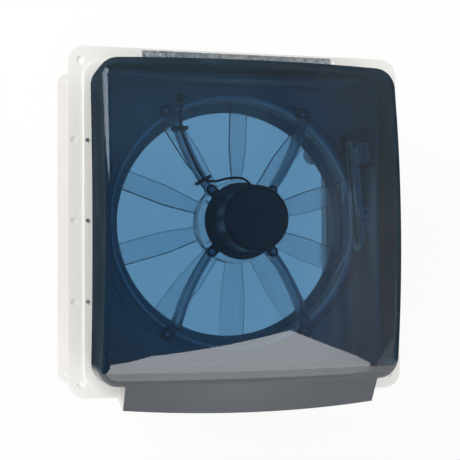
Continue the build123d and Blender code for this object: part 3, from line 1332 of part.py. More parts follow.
def insect_screen_net():
    """The net in the screen's seat: one face with a hole for each cell, clipped by the opening."""
    side = SCREEN_OPENING + 2 * NET_SEAT - 2 * FIT_GAP
    pitch = SCREEN_OPENING / NET_CELLS
    cell = pitch - NET_STRAND
    first = -SCREEN_OPENING / 2 + pitch / 2
    centres = [first + pitch * number for number in range(NET_CELLS)]
    outer = RectangleRounded(side, side, SCREEN_OPENING_R + NET_SEAT - FIT_GAP).face().outer_wire()
    opening = RectangleRounded(SCREEN_OPENING, SCREEN_OPENING, SCREEN_OPENING_R)
    corner = SCREEN_OPENING / 2 - SCREEN_OPENING_R + cell / 2
    holes = []
    for x in centres:
        for y in centres:
            if hypot(max(abs(x) - corner, 0), max(abs(y) - corner, 0)) < SCREEN_OPENING_R - NET_STRAND:
                clipped = opening & (Pos(x, y, 0) * Rectangle(cell, cell))
                holes.append(clipped.faces()[0].outer_wire())
    net = extrude(Face(outer, holes), NET_THICK)
    return Pos(0, 0, LEDGE_BOTTOM - 2 * NET_THICK) * net


def screen_button(angle):
    """A turn button under the screen's edge, pointing inwards."""
    disc = Cylinder(BUTTON_R, BUTTON_THICK, align=DOWNWARD)
    finger = Pos(-BUTTON_REACH / 2, 0, 0) * Box(BUTTON_REACH, 2 * BUTTON_R, BUTTON_THICK, align=DOWNWARD)
    button = disc + finger
    button = button - Cylinder(BUTTON_SHANK_R + RUNNING_GAP, 3 * BUTTON_THICK)
    return Rot(0, 0, angle) * Pos(BUTTON_PIVOT, 0, BUTTON_TOP - BODY_GAP) * button


def button_screws():
    screws = []
    for angle in button_sides().values():
        z = BUTTON_TOP - BUTTON_THICK - 2 * BODY_GAP
        place = Rot(0, 0, angle) * facing_down(BUTTON_PIVOT, 0, z)
        length = BUTTON_THICK + SCREEN_THICK
        screws.append(screw(place, BUTTON_R * 3 / 4, SMALL_HEAD_RISE, BUTTON_SHANK_R, length))
    return as_group(screws)


# All nodes


def root_nodes():
    yield "base_frame", base_frame()
    yield "lid_seal", lid_seal()
    yield "flange_side_screws", as_group(small_screw(place) for place in field_screw_places())
    yield "hinge_fixed_leaf", hinge_fixed_leaf()
    yield "hinge_pin", hinge_pin()
    yield "fixed_leaf_rivets", rivets(fixed_rivet_places(), LEAF_THICK + FLANGE_THICK - FIT_GAP)
    yield "fan_shroud", fan_shroud()
    yield "shroud_screws", as_group(big_screw(place) for place in shelf_screw_places())
    strut = rear_right_strut()
    names = ("rear_right", "rear_left", "front_right", "front_left")
    for name, (side_x, side_y) in zip(names, QUARTERS):
        yield "motor_strut_" + name, mirrored(strut, side_x, side_y)
    yield "strut_screws", as_group(small_screw(place) for place in strut_foot_places())
    yield "motor_flange", motor_flange()
    yield "motor_can", motor_can()
    yield "motor_magnets", motor_magnets()
    yield "motor_bearings", motor_bearings()
    yield "motor_screws", as_group(big_screw(place) for place in motor_screw_places())
    yield "motor_lead", motor_lead()
    yield "cable_ties", cable_ties()
    yield "lead_grommet", lead_grommet()
    yield "gear_case_body", gear_case_body()
    yield "gear_case_cover", gear_case_cover()
    case_places = case_cover_places() + case_foot_places()
    yield "gear_case_screws", as_group(small_screw(place) for place in case_places)
    yield "gear_bushes", gear_bushes()
    yield "trim_frame", trim_frame()
    yield "trim_screws", as_group(big_screw(place) for place in trim_screw_places())
    yield "insect_screen_frame", insect_screen_frame()
    yield "insect_screen_net", insect_screen_net()
    yield "button_screws", button_screws()
    yield "control_box", control_box()
    yield "fuse_cap", fuse_cap()
    yield "supply_grommet", supply_grommet()


def moving_nodes():
    yield "lid_dome", lid_dome()
    yield "hinge_moving_leaf", hinge_moving_leaf()
    yield "moving_leaf_rivets", rivets(moving_rivet_places(), LEAF_THICK + 2 * LID_WALL)
    yield "track_plate", track_plate()
    yield "track_screws", as_group(small_screw(place) for place in track_screw_places())
    yield "lift_arm", lift_arm()
    yield "arm_pin", arm_pin()
    yield "pivot_shaft", pivot_shaft()
    yield "worm_wheel", worm_wheel()
    yield "worm_shaft", worm_shaft()
    yield "crank_knob", crank_knob()
    yield "crank_screw", crank_screw()
    yield "fan_rotor", fan_rotor()
    yield "motor_shaft", motor_shaft()
    yield "motor_armature", motor_armature()
    yield "fan_nut", fan_nut()
    yield "speed_knob", speed_knob()
    for name, angle in button_sides().items():
        yield "screen_button_" + name, screen_button(angle)


os.makedirs("parts", exist_ok=True)
for nodes in (root_nodes(), moving_nodes()):
    for node, shape in nodes:
        export_step(shape, "parts/" + node + ".step")
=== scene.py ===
import logging
import math
from dataclasses import dataclass
from enum import Enum
from typing import Dict, Iterable, List, Optional, Sequence, Tuple, Union

import bmesh
import bpy
from mathutils import Matrix, Vector


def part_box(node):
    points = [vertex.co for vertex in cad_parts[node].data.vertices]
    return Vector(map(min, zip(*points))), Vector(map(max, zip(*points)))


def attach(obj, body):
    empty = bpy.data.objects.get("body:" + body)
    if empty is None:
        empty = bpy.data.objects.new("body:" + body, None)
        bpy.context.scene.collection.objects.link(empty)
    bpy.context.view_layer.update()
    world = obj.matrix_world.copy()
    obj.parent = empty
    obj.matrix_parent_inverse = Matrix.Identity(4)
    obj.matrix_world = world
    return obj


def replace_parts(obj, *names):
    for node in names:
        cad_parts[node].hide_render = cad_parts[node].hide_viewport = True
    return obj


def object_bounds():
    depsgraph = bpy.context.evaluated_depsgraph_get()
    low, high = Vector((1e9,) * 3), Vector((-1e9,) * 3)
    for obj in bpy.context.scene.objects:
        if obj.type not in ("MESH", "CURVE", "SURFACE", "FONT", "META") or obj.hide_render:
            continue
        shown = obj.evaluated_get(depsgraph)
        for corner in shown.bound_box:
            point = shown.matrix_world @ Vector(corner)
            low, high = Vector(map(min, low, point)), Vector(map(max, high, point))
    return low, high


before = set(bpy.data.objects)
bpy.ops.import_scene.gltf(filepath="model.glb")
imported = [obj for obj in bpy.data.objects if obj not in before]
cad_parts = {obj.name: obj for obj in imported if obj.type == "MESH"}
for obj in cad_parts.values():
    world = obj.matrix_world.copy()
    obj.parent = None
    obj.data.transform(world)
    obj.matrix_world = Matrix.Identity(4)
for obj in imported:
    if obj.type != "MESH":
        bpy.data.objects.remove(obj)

Colour = Tuple[float, float, float]
Point = Tuple[float, float, float]
Span = Tuple[float, float]

CAD_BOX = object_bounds()
MM = 0.001
WHITE: Colour = (1.0, 1.0, 1.0)
LOG = logging.getLogger("roof_vent")


class Ray(Enum):
    """The kinds of ray that the backdrop tells apart."""

    CAMERA = "Is Camera Ray"
    GLOSSY = "Is Glossy Ray"
    TRANSMISSION = "Is Transmission Ray"


class Side(Enum):
    """The four sides of the screen that carry a turn button."""

    RIGHT = "right"
    REAR = "rear"
    LEFT = "left"
    FRONT = "front"


def toned(colour: Colour, factor: float, lift: float = 0.0) -> Colour:
    """Makes a colour darker or lighter.

    Args:
        colour: the colour.
        factor: what each of its parts is multiplied by.
        lift: what is then added to each part.

    Returns:
        The new colour, with no part over one.
    """
    return tuple(min(1.0, part * factor + lift) for part in colour)


@dataclass(frozen=True)
class Pattern:
    """Soft noise: the size of its blotches, its detail and, if it is sharpened, its limits."""

    size: float
    detail: float
    edges: Optional[Span] = None


@dataclass(frozen=True)
class Relief:
    """A bump: its depth in metres from lowest to highest, and its strength."""

    depth: float
    strength: float


class Signal:
    """One output socket of a node, with Python's operators as Math nodes."""

    def __init__(self, board: "Board", socket: bpy.types.NodeSocket) -> None:
        """Keeps the socket and the board that it sits on."""
        self.board = board
        self.socket = socket

    def maths(self, operation: str, other: "Operand" = 0.0, flipped: bool = False) -> "Signal":
        """Adds a Math node.

        Args:
            operation: the node's operation.
            other: the second operand, for operations that have one.
            flipped: whether the other operand comes first.

        Returns:
            The node's result.
        """
        pair = (other, self) if flipped else (self, other)
        return self.board.node("ShaderNodeMath", {"operation": operation}, {0: pair[0], 1: pair[1]})

    def __add__(self, other: "Operand") -> "Signal":
        """Adds two values."""
        return self.maths("ADD", other)

    def __radd__(self, other: "Operand") -> "Signal":
        """Adds two values, the plain one first."""
        return self.maths("ADD", other, True)

    def __sub__(self, other: "Operand") -> "Signal":
        """Subtracts a value."""
        return self.maths("SUBTRACT", other)

    def __rsub__(self, other: "Operand") -> "Signal":
        """Subtracts from a plain value."""
        return self.maths("SUBTRACT", other, True)

    def __mul__(self, other: "Operand") -> "Signal":
        """Multiplies two values."""
        return self.maths("MULTIPLY", other)

    def __rmul__(self, other: "Operand") -> "Signal":
        """Multiplies two values, the plain one first."""
        return self.maths("MULTIPLY", other, True)

    def __neg__(self) -> "Signal":
        """Turns the sign."""
        return 0.0 - self

    def __pow__(self, other: "Operand") -> "Signal":
        """Raises to a power."""
        return self.maths("POWER", other)

    def __gt__(self, other: "Operand") -> "Signal":
        """One where this value is larger, else zero."""
        return self.maths("GREATER_THAN", other)

    def __or__(self, other: "Operand") -> "Signal":
        """The larger of two values."""
        return self.maths("MAXIMUM", other)

    def wrapped(self, period: float) -> "Signal":
        """The place within one period, from zero to one."""
        return (self * (1.0 / period)).maths("FRACT")

    def spread(self, low: float, high: float) -> "Signal":
        """Stretches a zero-to-one value over a range."""
        return self * (high - low) + low

    def sharpened(self, start: float, end: float) -> "Signal":
        """Zero below start and one above end, with a smooth step between."""
        settings = {"interpolation_type": "SMOOTHSTEP"}
        inputs = {"Value": self, "From Min": start, "From Max": end}
        return self.board.node("ShaderNodeMapRange", settings, inputs)


Operand = Union[Signal, float]
Value = Union[Signal, float, Sequence[float]]
Inputs = Dict[Union[str, int], Value]


class Board:
    """The node tree of one material or of the world."""

    def __init__(self, owner: Union[bpy.types.Material, bpy.types.World]) -> None:
        """Starts with an empty tree."""
        owner.use_nodes = True
        self.tree = owner.node_tree
        self.tree.nodes.clear()

    def node(self, kind: str, settings: Dict[str, object], inputs: Inputs,
             output: Union[str, int] = 0) -> Signal:
        """Adds a node of any kind.

        Args:
            kind: the node's type.
            settings: its own settings; stops are a colour ramp's.
            inputs: a value or a link for each named or numbered socket.
            output: which of its outputs to return.

        Returns:
            That output, or an empty signal if the node has none.
        """
        made = self.tree.nodes.new(kind)
        for name, value in settings.items():
            if name == "stops":
                self._set_stops(made, value)
            else:
                setattr(made, name, value)
        for key, value in inputs.items():
            self._plug(made.inputs[key], value)
        return Signal(self, made.outputs[output] if made.outputs else None)

    def _plug(self, socket: bpy.types.NodeSocket, value: Value) -> None:
        """Links a signal to a socket, or sets its value."""
        if isinstance(value, Signal):
            self.tree.links.new(value.socket, socket)
        elif isinstance(value, (tuple, list)) and len(value) == 3 and socket.type == "RGBA":
            socket.default_value = (*value, 1.0)
        else:
            socket.default_value = value

    def _set_stops(self, ramp: bpy.types.Node, stops: Sequence[Tuple[float, Colour]]) -> None:
        """Sets a colour ramp's stops."""
        elements = ramp.color_ramp.elements
        while len(elements) < len(stops):
            elements.new(1.0)
        for element, (place, colour) in zip(elements, stops):
            element.position = place
            element.color = (*colour, 1.0)

    def place(self) -> Signal:
        """The point in the row frame, in metres."""
        return self.node("ShaderNodeTexCoord", {}, {}, "Object")

    def ray(self, ray: Ray) -> Signal:
        """One for rays of a kind, else zero."""
        return self.node("ShaderNodeLightPath", {}, {}, ray.value)

    def axes(self, vector: Signal) -> Tuple[Signal, Signal, Signal]:
        """Splits a vector into its three numbers."""
        split = self.node("ShaderNodeSeparateXYZ", {}, {0: vector})
        outputs = split.socket.node.outputs
        return tuple(Signal(self, outputs[index]) for index in range(3))

    def joined(self, x: Operand, y: Operand, z: Operand) -> Signal:
        """Joins three numbers into a vector."""
        return self.node("ShaderNodeCombineXYZ", {}, {0: x, 1: y, 2: z})

    def noise(self, pattern: Pattern, where: Optional[Signal] = None) -> Signal:
        """Adds soft noise.

        Args:
            pattern: its size, detail and edges.
            where: the vector that it follows, or none for the point in metres.

        Returns:
            The noise, sharpened if the pattern has edges.
        """
        place = where or self.place()
        inputs = {"Vector": place, "Scale": 1.0 / pattern.size, "Detail": pattern.detail}
        made = self.node("ShaderNodeTexNoise", {}, inputs)
        return made.sharpened(*pattern.edges) if pattern.edges else made

    def blend(self, share: Operand, first: Value, second: Value) -> Signal:
        """Mixes two colours."""
        return self.node("ShaderNodeMix", {"data_type": "RGBA"}, {0: share, 6: first, 7: second}, 2)

    def shaded(self, share: Operand, colour: Colour, factor: float, lift: float = 0.0) -> Signal:
        """Mixes a colour with a darker or lighter tone of itself.

        Args:
            share: how much of the tone there is.
            colour: the colour.
            factor: what the tone multiplies it by.
            lift: what the tone then adds to it.

        Returns:
            The mixed colour.
        """
        return self.blend(share, colour, toned(colour, factor, lift))

    def bump(self, height: Signal, relief: Relief) -> Signal:
        """A normal that follows a height."""
        inputs = {"Height": height, "Distance": relief.depth, "Strength": relief.strength}
        return self.node("ShaderNodeBump", {}, inputs)

    def facing(self) -> Signal:
        """Zero where a surface is seen square on, one where it is seen along itself."""
        return self.node("ShaderNodeLayerWeight", {}, {"Blend": 0.5}, "Facing")

    def shader(self, inputs: Inputs) -> Signal:
        """A Principled shader."""
        return self.node("ShaderNodeBsdfPrincipled", {}, inputs)

    def glow(self, colour: Colour, strength: float) -> Signal:
        """A surface that gives light."""
        return self.node("ShaderNodeEmission", {}, {"Color": colour, "Strength": strength})

    def either(self, share: Operand, first: Signal, second: Signal) -> Signal:
        """Mixes two shaders."""
        return self.node("ShaderNodeMixShader", {}, {0: share, 1: first, 2: second})

    def surface(self, shader: Union[Signal, Inputs]) -> None:
        """Ends the material with a shader, or with a Principled shader's inputs."""
        ready = shader if isinstance(shader, Signal) else self.shader(shader)
        self.node("ShaderNodeOutputMaterial", {}, {"Surface": ready})


def radius(x: Signal, y: Signal) -> Signal:
    """The distance from the fan's axis."""
    return (x * x + y * y) ** 0.5


@dataclass(frozen=True)
class Finish:
    """What every finish has: a name and a material made once.

    In every finish, a share says how much of a second colour a pattern brings, a tone is what the
    first colour is multiplied by to get the second, and dulls is what a pattern adds to roughness. A
    part is what the first of two patterns brings to a mix, and the second brings the rest.
    """

    name: str

    def paint(self, board: Board) -> None:
        """Builds the finish on an empty board."""
        raise NotImplementedError

    def material(self) -> bpy.types.Material:
        """The finish's material, made at its first use."""
        found = bpy.data.materials.get(self.name)
        if found is None:
            found = bpy.data.materials.new(self.name)
            self.paint(Board(found))
        return found


@dataclass(frozen=True)
class MouldedPlastic(Finish):
    """An opaque moulding with a fine grain, faint shade changes and a little soil."""

    colour: Colour
    soil: Colour
    roughness: float = 0.38
    soil_share: float = 0.10
    patches: Pattern = Pattern(60.0 * MM, 4.0)
    patch_edges: Span = (0.45, 0.80)
    patch_part: float = 0.7
    patch_dulls: Span = (-0.04, 0.07)
    specks: Pattern = Pattern(4.0 * MM, 5.0, (0.60, 0.78))
    grain: Pattern = Pattern(0.9 * MM, 2.0)
    grain_dulls: float = 0.04
    relief: Relief = Relief(0.04 * MM, 0.6)

    def paint(self, board: Board) -> None:
        """Builds the finish on an empty board."""
        patches = board.noise(self.patches)
        grain = board.noise(self.grain)
        soiled = patches.sharpened(*self.patch_edges) * self.patch_part
        soiled = soiled + board.noise(self.specks) * (1.0 - self.patch_part)
        low, high = (self.roughness + part for part in self.patch_dulls)
        board.surface({
            "Base Color": board.blend(self.soil_share * soiled, self.colour, self.soil),
            "Roughness": patches.spread(low, high) + grain * self.grain_dulls,
            "Normal": board.bump(grain, self.relief),
        })


@dataclass(frozen=True)
class RimmedPlastic(Finish):
    """The shroud's smooth moulding, with a painted highlight: paler along the top of the bead round its
    bore.
    """

    colour: Colour
    # pale is a painted highlight that runs along the top of the bead.
    pale: Colour
    bead: Span = (153.5 * MM, 158.5 * MM)
    bead_foot: float = -23.5 * MM
    blur: float = 0.8 * MM
    roughness: float = 0.20
    cloud: Pattern = Pattern(50.0 * MM, 4.0, (0.35, 0.80))
    cloud_share: float = 0.5
    cloud_tone: float = 0.75
    cloud_dulls: float = 0.08
    grain: Pattern = Pattern(0.9 * MM, 2.0)
    grain_dulls: float = 0.04
    relief: Relief = Relief(0.03 * MM, 0.5)

    def paint(self, board: Board) -> None:
        """Builds the finish on an empty board."""
        x, y, z = board.axes(board.place())
        away = radius(x, y)
        within, past = (away.sharpened(edge - self.blur, edge + self.blur) for edge in self.bead)
        # Painted highlight: the top of the bead is painted pale where a glossy highlight would run
        # along it.
        painted_highlight = within * (1.0 - past) * (z > self.bead_foot)
        cloud = board.noise(self.cloud)
        grain = board.noise(self.grain)
        base = board.shaded(cloud * self.cloud_share, self.colour, self.cloud_tone)
        board.surface({
            "Base Color": board.blend(painted_highlight, base, self.pale),
            "Roughness": self.roughness + cloud * self.cloud_dulls + grain * self.grain_dulls,
            "Normal": board.bump(grain, self.relief),
        })


@dataclass(frozen=True)
class Film:
    """One look of the lid's sheet, with the constant sockets of its shader."""

    colour: Colour
    constants: Tuple[Tuple[str, float], ...]
    roughness: float
    haze_tone: float
    haze_share: float = 1.0
    haze_dulls: float = 0.1
    dust_dulls: float = 0.1


@dataclass(frozen=True)
class TintedAcrylic(Finish):
    """The lid's smoke-blue sheet: clear square on, nearly black along its walls (partly the sheet's
    absorption, partly painted shade for the unlit inside seen through them) and grey at its brim,
    a painted reflection.
    """

    clear: Film
    # The second film is nearly black: partly the sheet's absorption, partly painted shade for the unlit
    # inside seen through the walls.
    painted_shade_rim: Film
    # The third film is a painted reflection: the brim painted grey for a pale surface that it reflects.
    painted_reflection: Film
    painted_shade_facing: Span = (0.09, 0.42)
    front_wall: Span = (166.0 * MM, 180.0 * MM)
    brim: Span = (174.5 * MM, 176.5 * MM)
    painted_reflection_share: float = 0.92
    haze: Pattern = Pattern(50.0 * MM, 3.0, (0.35, 0.85))
    dust: Pattern = Pattern(1.6 * MM, 2.0, (0.74, 0.80))
    wave: Pattern = Pattern(120.0 * MM, 0.0)
    relief: Relief = Relief(0.5 * MM, 0.3)

    def paint(self, board: Board) -> None:
        """Builds the finish on an empty board."""
        haze = board.noise(self.haze)
        dust = board.noise(self.dust)
        wave = board.bump(board.noise(self.wave), self.relief)
        clear, painted_shade_rim, painted_reflection = (
            board.shader({
                "Base Color": board.shaded(haze * film.haze_share, film.colour, film.haze_tone),
                "Roughness": film.roughness + haze * film.haze_dulls + dust * film.dust_dulls,
                "Normal": wave,
                **dict(film.constants),
            }) for film in (self.clear, self.painted_shade_rim, self.painted_reflection))
        _, y, _ = board.axes(board.place())
        forward = -y
        # Painted shade: where a wall is seen along itself it is painted nearly black, partly for the
        # sheet's absorption and partly for the unlit inside behind it.
        edge = board.facing().sharpened(*self.painted_shade_facing) * (1.0 - forward.sharpened(*self.front_wall))
        # Painted reflection: the brim is painted grey where it reflects a pale surface.
        brim = forward.sharpened(*self.brim) * self.painted_reflection_share
        board.surface(board.either(brim, board.either(edge, clear, painted_shade_rim), painted_reflection))


@dataclass(frozen=True)
class FrostedPlastic(Finish):
    """A clear moulding with flow streaks that run outwards from the fan's axis, and fine ripples."""

    colour: Colour
    clearness: float = 1.0
    roughness: float = 0.10
    streaks: float = 46.0
    streaks_outward: float = 9.0
    streaks_upward: float = 30.0
    streak: Pattern = Pattern(1.0, 4.0)
    streak_edges: Span = (0.3, 0.7)
    streak_share: float = 0.5
    streak_tone: float = 0.8
    streak_dulls: float = 0.08
    streak_height: float = 0.8
    ripple_slope: float = 0.6
    ripple_pitch: float = 900.0
    ripple_warp: float = 9.0
    ripple_height: float = 0.1
    relief: Relief = Relief(0.4 * MM, 0.7)
    index: float = 1.46

    def paint(self, board: Board) -> None:
        """Builds the finish on an empty board."""
        x, y, z = board.axes(board.place())
        angle = y.maths("ARCTAN2", x)
        outward = radius(x, y) * self.streaks_outward
        upward = z * self.streaks_upward
        streak = board.noise(self.streak, board.joined(angle * self.streaks, outward, upward))
        ripple = (x + y * self.ripple_slope) * self.ripple_pitch + streak * self.ripple_warp
        tone = streak.sharpened(*self.streak_edges)
        height = streak * self.streak_height + ripple.maths("SINE") * self.ripple_height
        board.surface({
            "Base Color": board.shaded(tone * self.streak_share, self.colour, self.streak_tone),
            "Roughness": self.roughness + tone * self.streak_dulls,
            "Transmission Weight": self.clearness,
            "IOR": self.index,
            "Normal": board.bump(height, self.relief),
        })


@dataclass(frozen=True)
class SpangledZinc(Finish):
    """Hot-dip galvanised sheet: crystal fields of a few millimetres with their own shade and gloss."""

    colour: Colour = (0.60, 0.61, 0.62)
    crystal: float = 3.5 * MM
    warp: Pattern = Pattern(6.0 * MM, 3.0)
    warp_reach: Point = (3.0 * MM, 2.0 * MM, 3.0 * MM)
    fine: Pattern = Pattern(0.7 * MM, 4.0)
    tones: Span = (0.6, 1.4)
    shade_part: float = 0.8
    height_part: float = 0.6
    roughness: Span = (0.25, 0.50)
    fine_dulls: float = 0.08
    relief: Relief = Relief(0.06 * MM, 0.7)

    def paint(self, board: Board) -> None:
        """Builds the finish on an empty board."""
        place = board.place()
        warp = board.noise(self.warp, place)
        axes = zip(board.axes(place), self.warp_reach)
        bent = board.joined(*(axis + warp * reach for axis, reach in axes))
        inputs = {"Vector": bent, "Scale": 1.0 / self.crystal}
        fields = board.node("ShaderNodeTexVoronoi", {}, inputs, "Color")
        shade, gloss, _ = board.axes(fields)
        fine = board.noise(self.fine)
        dark, light = (toned(self.colour, tone) for tone in self.tones)
        parts = (self.shade_part, self.height_part)
        share, height = (shade * part + fine * (1.0 - part) for part in parts)
        board.surface({
            "Base Color": board.blend(share, dark, light),
            "Metallic": 1.0,
            "Roughness": gloss.spread(*self.roughness) + fine * self.fine_dulls,
            "Normal": board.bump(height, self.relief),
        })


@dataclass(frozen=True)
class TurnedMetal(Finish):
    """Plain machined or plated metal with fine marks and light tarnish."""

    colour: Colour
    roughness: float = 0.22
    tarnish: float = 0.25
    tarnish_tone: float = 0.6
    tarnish_dulls: float = 0.1
    cloud: Pattern = Pattern(8.0 * MM, 4.0, (0.35, 0.75))
    marks: Pattern = Pattern(1.0, 3.0)
    marks_per_metre: Point = (400.0, 400.0, 3500.0)
    mark_dulls: float = 0.12
    relief: Relief = Relief(0.02 * MM, 0.5)

    def paint(self, board: Board) -> None:
        """Builds the finish on an empty board."""
        axes = zip(board.axes(board.place()), self.marks_per_metre)
        marks = board.noise(self.marks, board.joined(*(axis * pitch for axis, pitch in axes)))
        cloud = board.noise(self.cloud)
        board.surface({
            "Base Color": board.shaded(cloud * self.tarnish, self.colour, self.tarnish_tone),
            "Metallic": 1.0,
            "Roughness": self.roughness + marks * self.mark_dulls + cloud * self.tarnish_dulls,
            "Normal": board.bump(marks, self.relief),
        })


@dataclass(frozen=True)
class DarkEnamel(Finish):
    """Sprayed dark enamel on steel, with orange peel and worn, lighter rubs."""

    colour: Colour = (0.012, 0.014, 0.018)
    roughness: float = 0.34
    rub: Pattern = Pattern(18.0 * MM, 5.0, (0.62, 0.80))
    rub_share: float = 0.35
    rub_tone: float = 3.2
    rub_lift: float = 0.01
    rub_dulls: float = 0.16
    peel: Pattern = Pattern(1.6 * MM, 2.0)
    peel_dulls: float = 0.06
    relief: Relief = Relief(0.05 * MM, 0.5)
    coat: float = 0.25

    def paint(self, board: Board) -> None:
        """Builds the finish on an empty board."""
        peel = board.noise(self.peel)
        rub = board.noise(self.rub)
        board.surface({
            "Base Color": board.shaded(rub * self.rub_share, self.colour, self.rub_tone, self.rub_lift),
            "Roughness": self.roughness + rub * self.rub_dulls + peel * self.peel_dulls,
            "Coat Weight": self.coat,
            "Normal": board.bump(peel, self.relief),
        })


@dataclass(frozen=True)
class StackedIron(Finish):
    """A stack of thin iron plates, seen as fine level lines."""

    colour: Colour = (0.20, 0.19, 0.18)
    rust_colour: Colour = (0.22, 0.12, 0.07)
    roughness: float = 0.45
    metallic: float = 0.8
    plate: float = 1.2 * MM
    plate_edges: Span = (0.80, 0.95)
    rust: Pattern = Pattern(10.0 * MM, 5.0, (0.55, 0.80))
    rust_share: float = 0.3
    rust_dulls: float = 0.2
    relief: Relief = Relief(0.1 * MM, 0.8)

    def paint(self, board: Board) -> None:
        """Builds the finish on an empty board."""
        _, _, z = board.axes(board.place())
        line = z.wrapped(self.plate).sharpened(*self.plate_edges)
        rust = board.noise(self.rust)
        board.surface({
            "Base Color": board.blend(rust * self.rust_share, self.colour, self.rust_colour),
            "Metallic": self.metallic,
            "Roughness": self.roughness + rust * self.rust_dulls,
            "Normal": board.bump(line, self.relief),
        })


@dataclass(frozen=True)
class SoftRubber(Finish):
    """Black rubber or sheath with bloom and a fine matt grain."""

    colour: Colour = (0.014, 0.014, 0.015)
    roughness: float = 0.62
    bloom: Pattern = Pattern(12.0 * MM, 5.0, (0.50, 0.85))
    bloom_share: float = 0.6
    bloom_lift: float = 0.035
    bloom_dulls: float = 0.12
    grain: Pattern = Pattern(0.6 * MM, 2.0)
    grain_dulls: float = 0.05
    relief: Relief = Relief(0.04 * MM, 0.6)

    def paint(self, board: Board) -> None:
        """Builds the finish on an empty board."""
        bloom = board.noise(self.bloom)
        grain = board.noise(self.grain)
        board.surface({
            "Base Color": board.shaded(bloom * self.bloom_share, self.colour, 1.0, self.bloom_lift),
            "Roughness": self.roughness + bloom * self.bloom_dulls + grain * self.grain_dulls,
            "Normal": board.bump(grain, self.relief),
        })


@dataclass(frozen=True)
class WovenMesh(Finish):
    """Fine insect mesh: dark threads with open cells between them."""

    colour: Colour = (0.035, 0.037, 0.04)
    worn_colour: Colour = (0.08, 0.082, 0.085)
    roughness: Span = (0.5, 0.7)
    cell: float = 1.6 * MM
    thread_share: float = 0.08
    wear: Pattern = Pattern(30.0 * MM, 3.0)
    relief: Relief = Relief(0.1 * MM, 0.5)

    def paint(self, board: Board) -> None:
        """Builds the finish on an empty board."""
        x, y, _ = board.axes(board.place())
        open_share = 1.0 - self.thread_share
        across = x.wrapped(self.cell)
        along = y.wrapped(self.cell)
        wear = board.noise(self.wear)
        board.surface({
            "Base Color": board.blend(wear, self.colour, self.worn_colour),
            "Roughness": wear.spread(*self.roughness),
            "Alpha": (across > open_share) | (along > open_share),
            "Normal": board.bump((across + along) * 0.5, self.relief),
        })


BODY_WHITE = MouldedPlastic("moulded white body", (0.80, 0.785, 0.75), (0.50, 0.47, 0.41))
TRIM_WHITE = MouldedPlastic(
    "moulded white trim", (0.72, 0.705, 0.67), (0.50, 0.47, 0.41), roughness=0.42)
SCREEN_WHITE = MouldedPlastic(
    "moulded white screen", (0.68, 0.68, 0.66), (0.40, 0.38, 0.33), roughness=0.4)
KNOB_WHITE = MouldedPlastic(
    "moulded white knob", (0.62, 0.61, 0.58), (0.30, 0.28, 0.25), roughness=0.4)
CASE_BLACK = MouldedPlastic(
    "moulded black case", (0.020, 0.021, 0.024), (0.10, 0.09, 0.08), roughness=0.42)
TIE_BLACK = MouldedPlastic(
    "black cable tie", (0.012, 0.012, 0.013), (0.06, 0.06, 0.06), roughness=0.35)
# The shroud's second colour is a painted highlight on the top of its bead.
SHROUD_GREY = RimmedPlastic("moulded grey shroud", (0.54, 0.56, 0.57), (0.95, 0.97, 0.98))
LID_BLUE = TintedAcrylic(
    "smoke blue acrylic",
    clear=Film((0.112, 0.285, 0.48), (("Transmission Weight", 1.0), ("IOR", 1.49)), roughness=0.012,
               haze_tone=0.9, haze_share=0.25, haze_dulls=0.02, dust_dulls=0.03),
    # The walls' nearly black film: partly the sheet's absorption, partly painted shade.
    painted_shade_rim=Film((0.016, 0.026, 0.036), (("Specular IOR Level", 0.0),), roughness=0.12,
             haze_tone=1.6, haze_dulls=0.05, dust_dulls=0.0),
    # The brim's grey film is a painted reflection of a pale surface.
    painted_reflection=Film((0.098, 0.106, 0.118), (("Specular IOR Level", 0.15),), roughness=0.16, haze_tone=0.85))
FAN_CLEAR = FrostedPlastic("clear fan moulding", (0.92, 0.95, 0.97))
STRUT_CLEAR = FrostedPlastic(
    "clear strut moulding", (0.54, 0.62, 0.68), clearness=0.80, roughness=0.16, streaks=20.0)
ZINC_SHEET = SpangledZinc("spangled zinc sheet")
SCREW_ZINC = TurnedMetal("zinc-plated screw", (0.55, 0.56, 0.57), roughness=0.26)
PLATED_SHEET = TurnedMetal("zinc-plated sheet", (0.44, 0.42, 0.39), roughness=0.32, tarnish=0.2)
RIVET_ALLOY = TurnedMetal("soft alloy rivet", (0.70, 0.71, 0.72), roughness=0.28, tarnish=0.15)
SHAFT_STEEL = TurnedMetal("ground steel shaft", (0.45, 0.45, 0.46), roughness=0.14)
BUSH_BRASS = TurnedMetal("sintered brass", (0.62, 0.44, 0.18), roughness=0.32, tarnish=0.4)
MOTOR_DARK = DarkEnamel("dark motor enamel")
MAGNET_DARK = DarkEnamel("ferrite magnet", (0.02, 0.02, 0.022), roughness=0.6)
ARMATURE_IRON = StackedIron("stacked armature iron")
SEAL_BLACK = SoftRubber("black seal rubber")
SHEATH_BLACK = SoftRubber("black lead sheath", (0.010, 0.010, 0.012), roughness=0.42)
NET_FIBRE = WovenMesh("woven insect mesh")


def dress(finish: Finish, nodes: Iterable[str]) -> None:
    """Gives carried-over nodes a finish.

    Args:
        finish: the finish.
        nodes: the nodes' names.
    """
    for name in nodes:
        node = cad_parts[name]
        node.data.materials.clear()
        node.data.materials.append(finish.material())
        LOG.info("%s: %s", name, finish.name)


def new_object(name: str, mesh: bmesh.types.BMesh, material: bpy.types.Material) -> bpy.types.Object:
    """Turns a built mesh into an object of the scene.

    Args:
        name: the object's name.
        mesh: the mesh, in the row frame; it is freed here.
        material: its only material.

    Returns:
        The object.
    """
    data = bpy.data.meshes.new(name)
    mesh.to_mesh(data)
    mesh.free()
    data.materials.append(material)
    made = bpy.data.objects.new(name, data)
    bpy.context.scene.collection.objects.link(made)
    return made


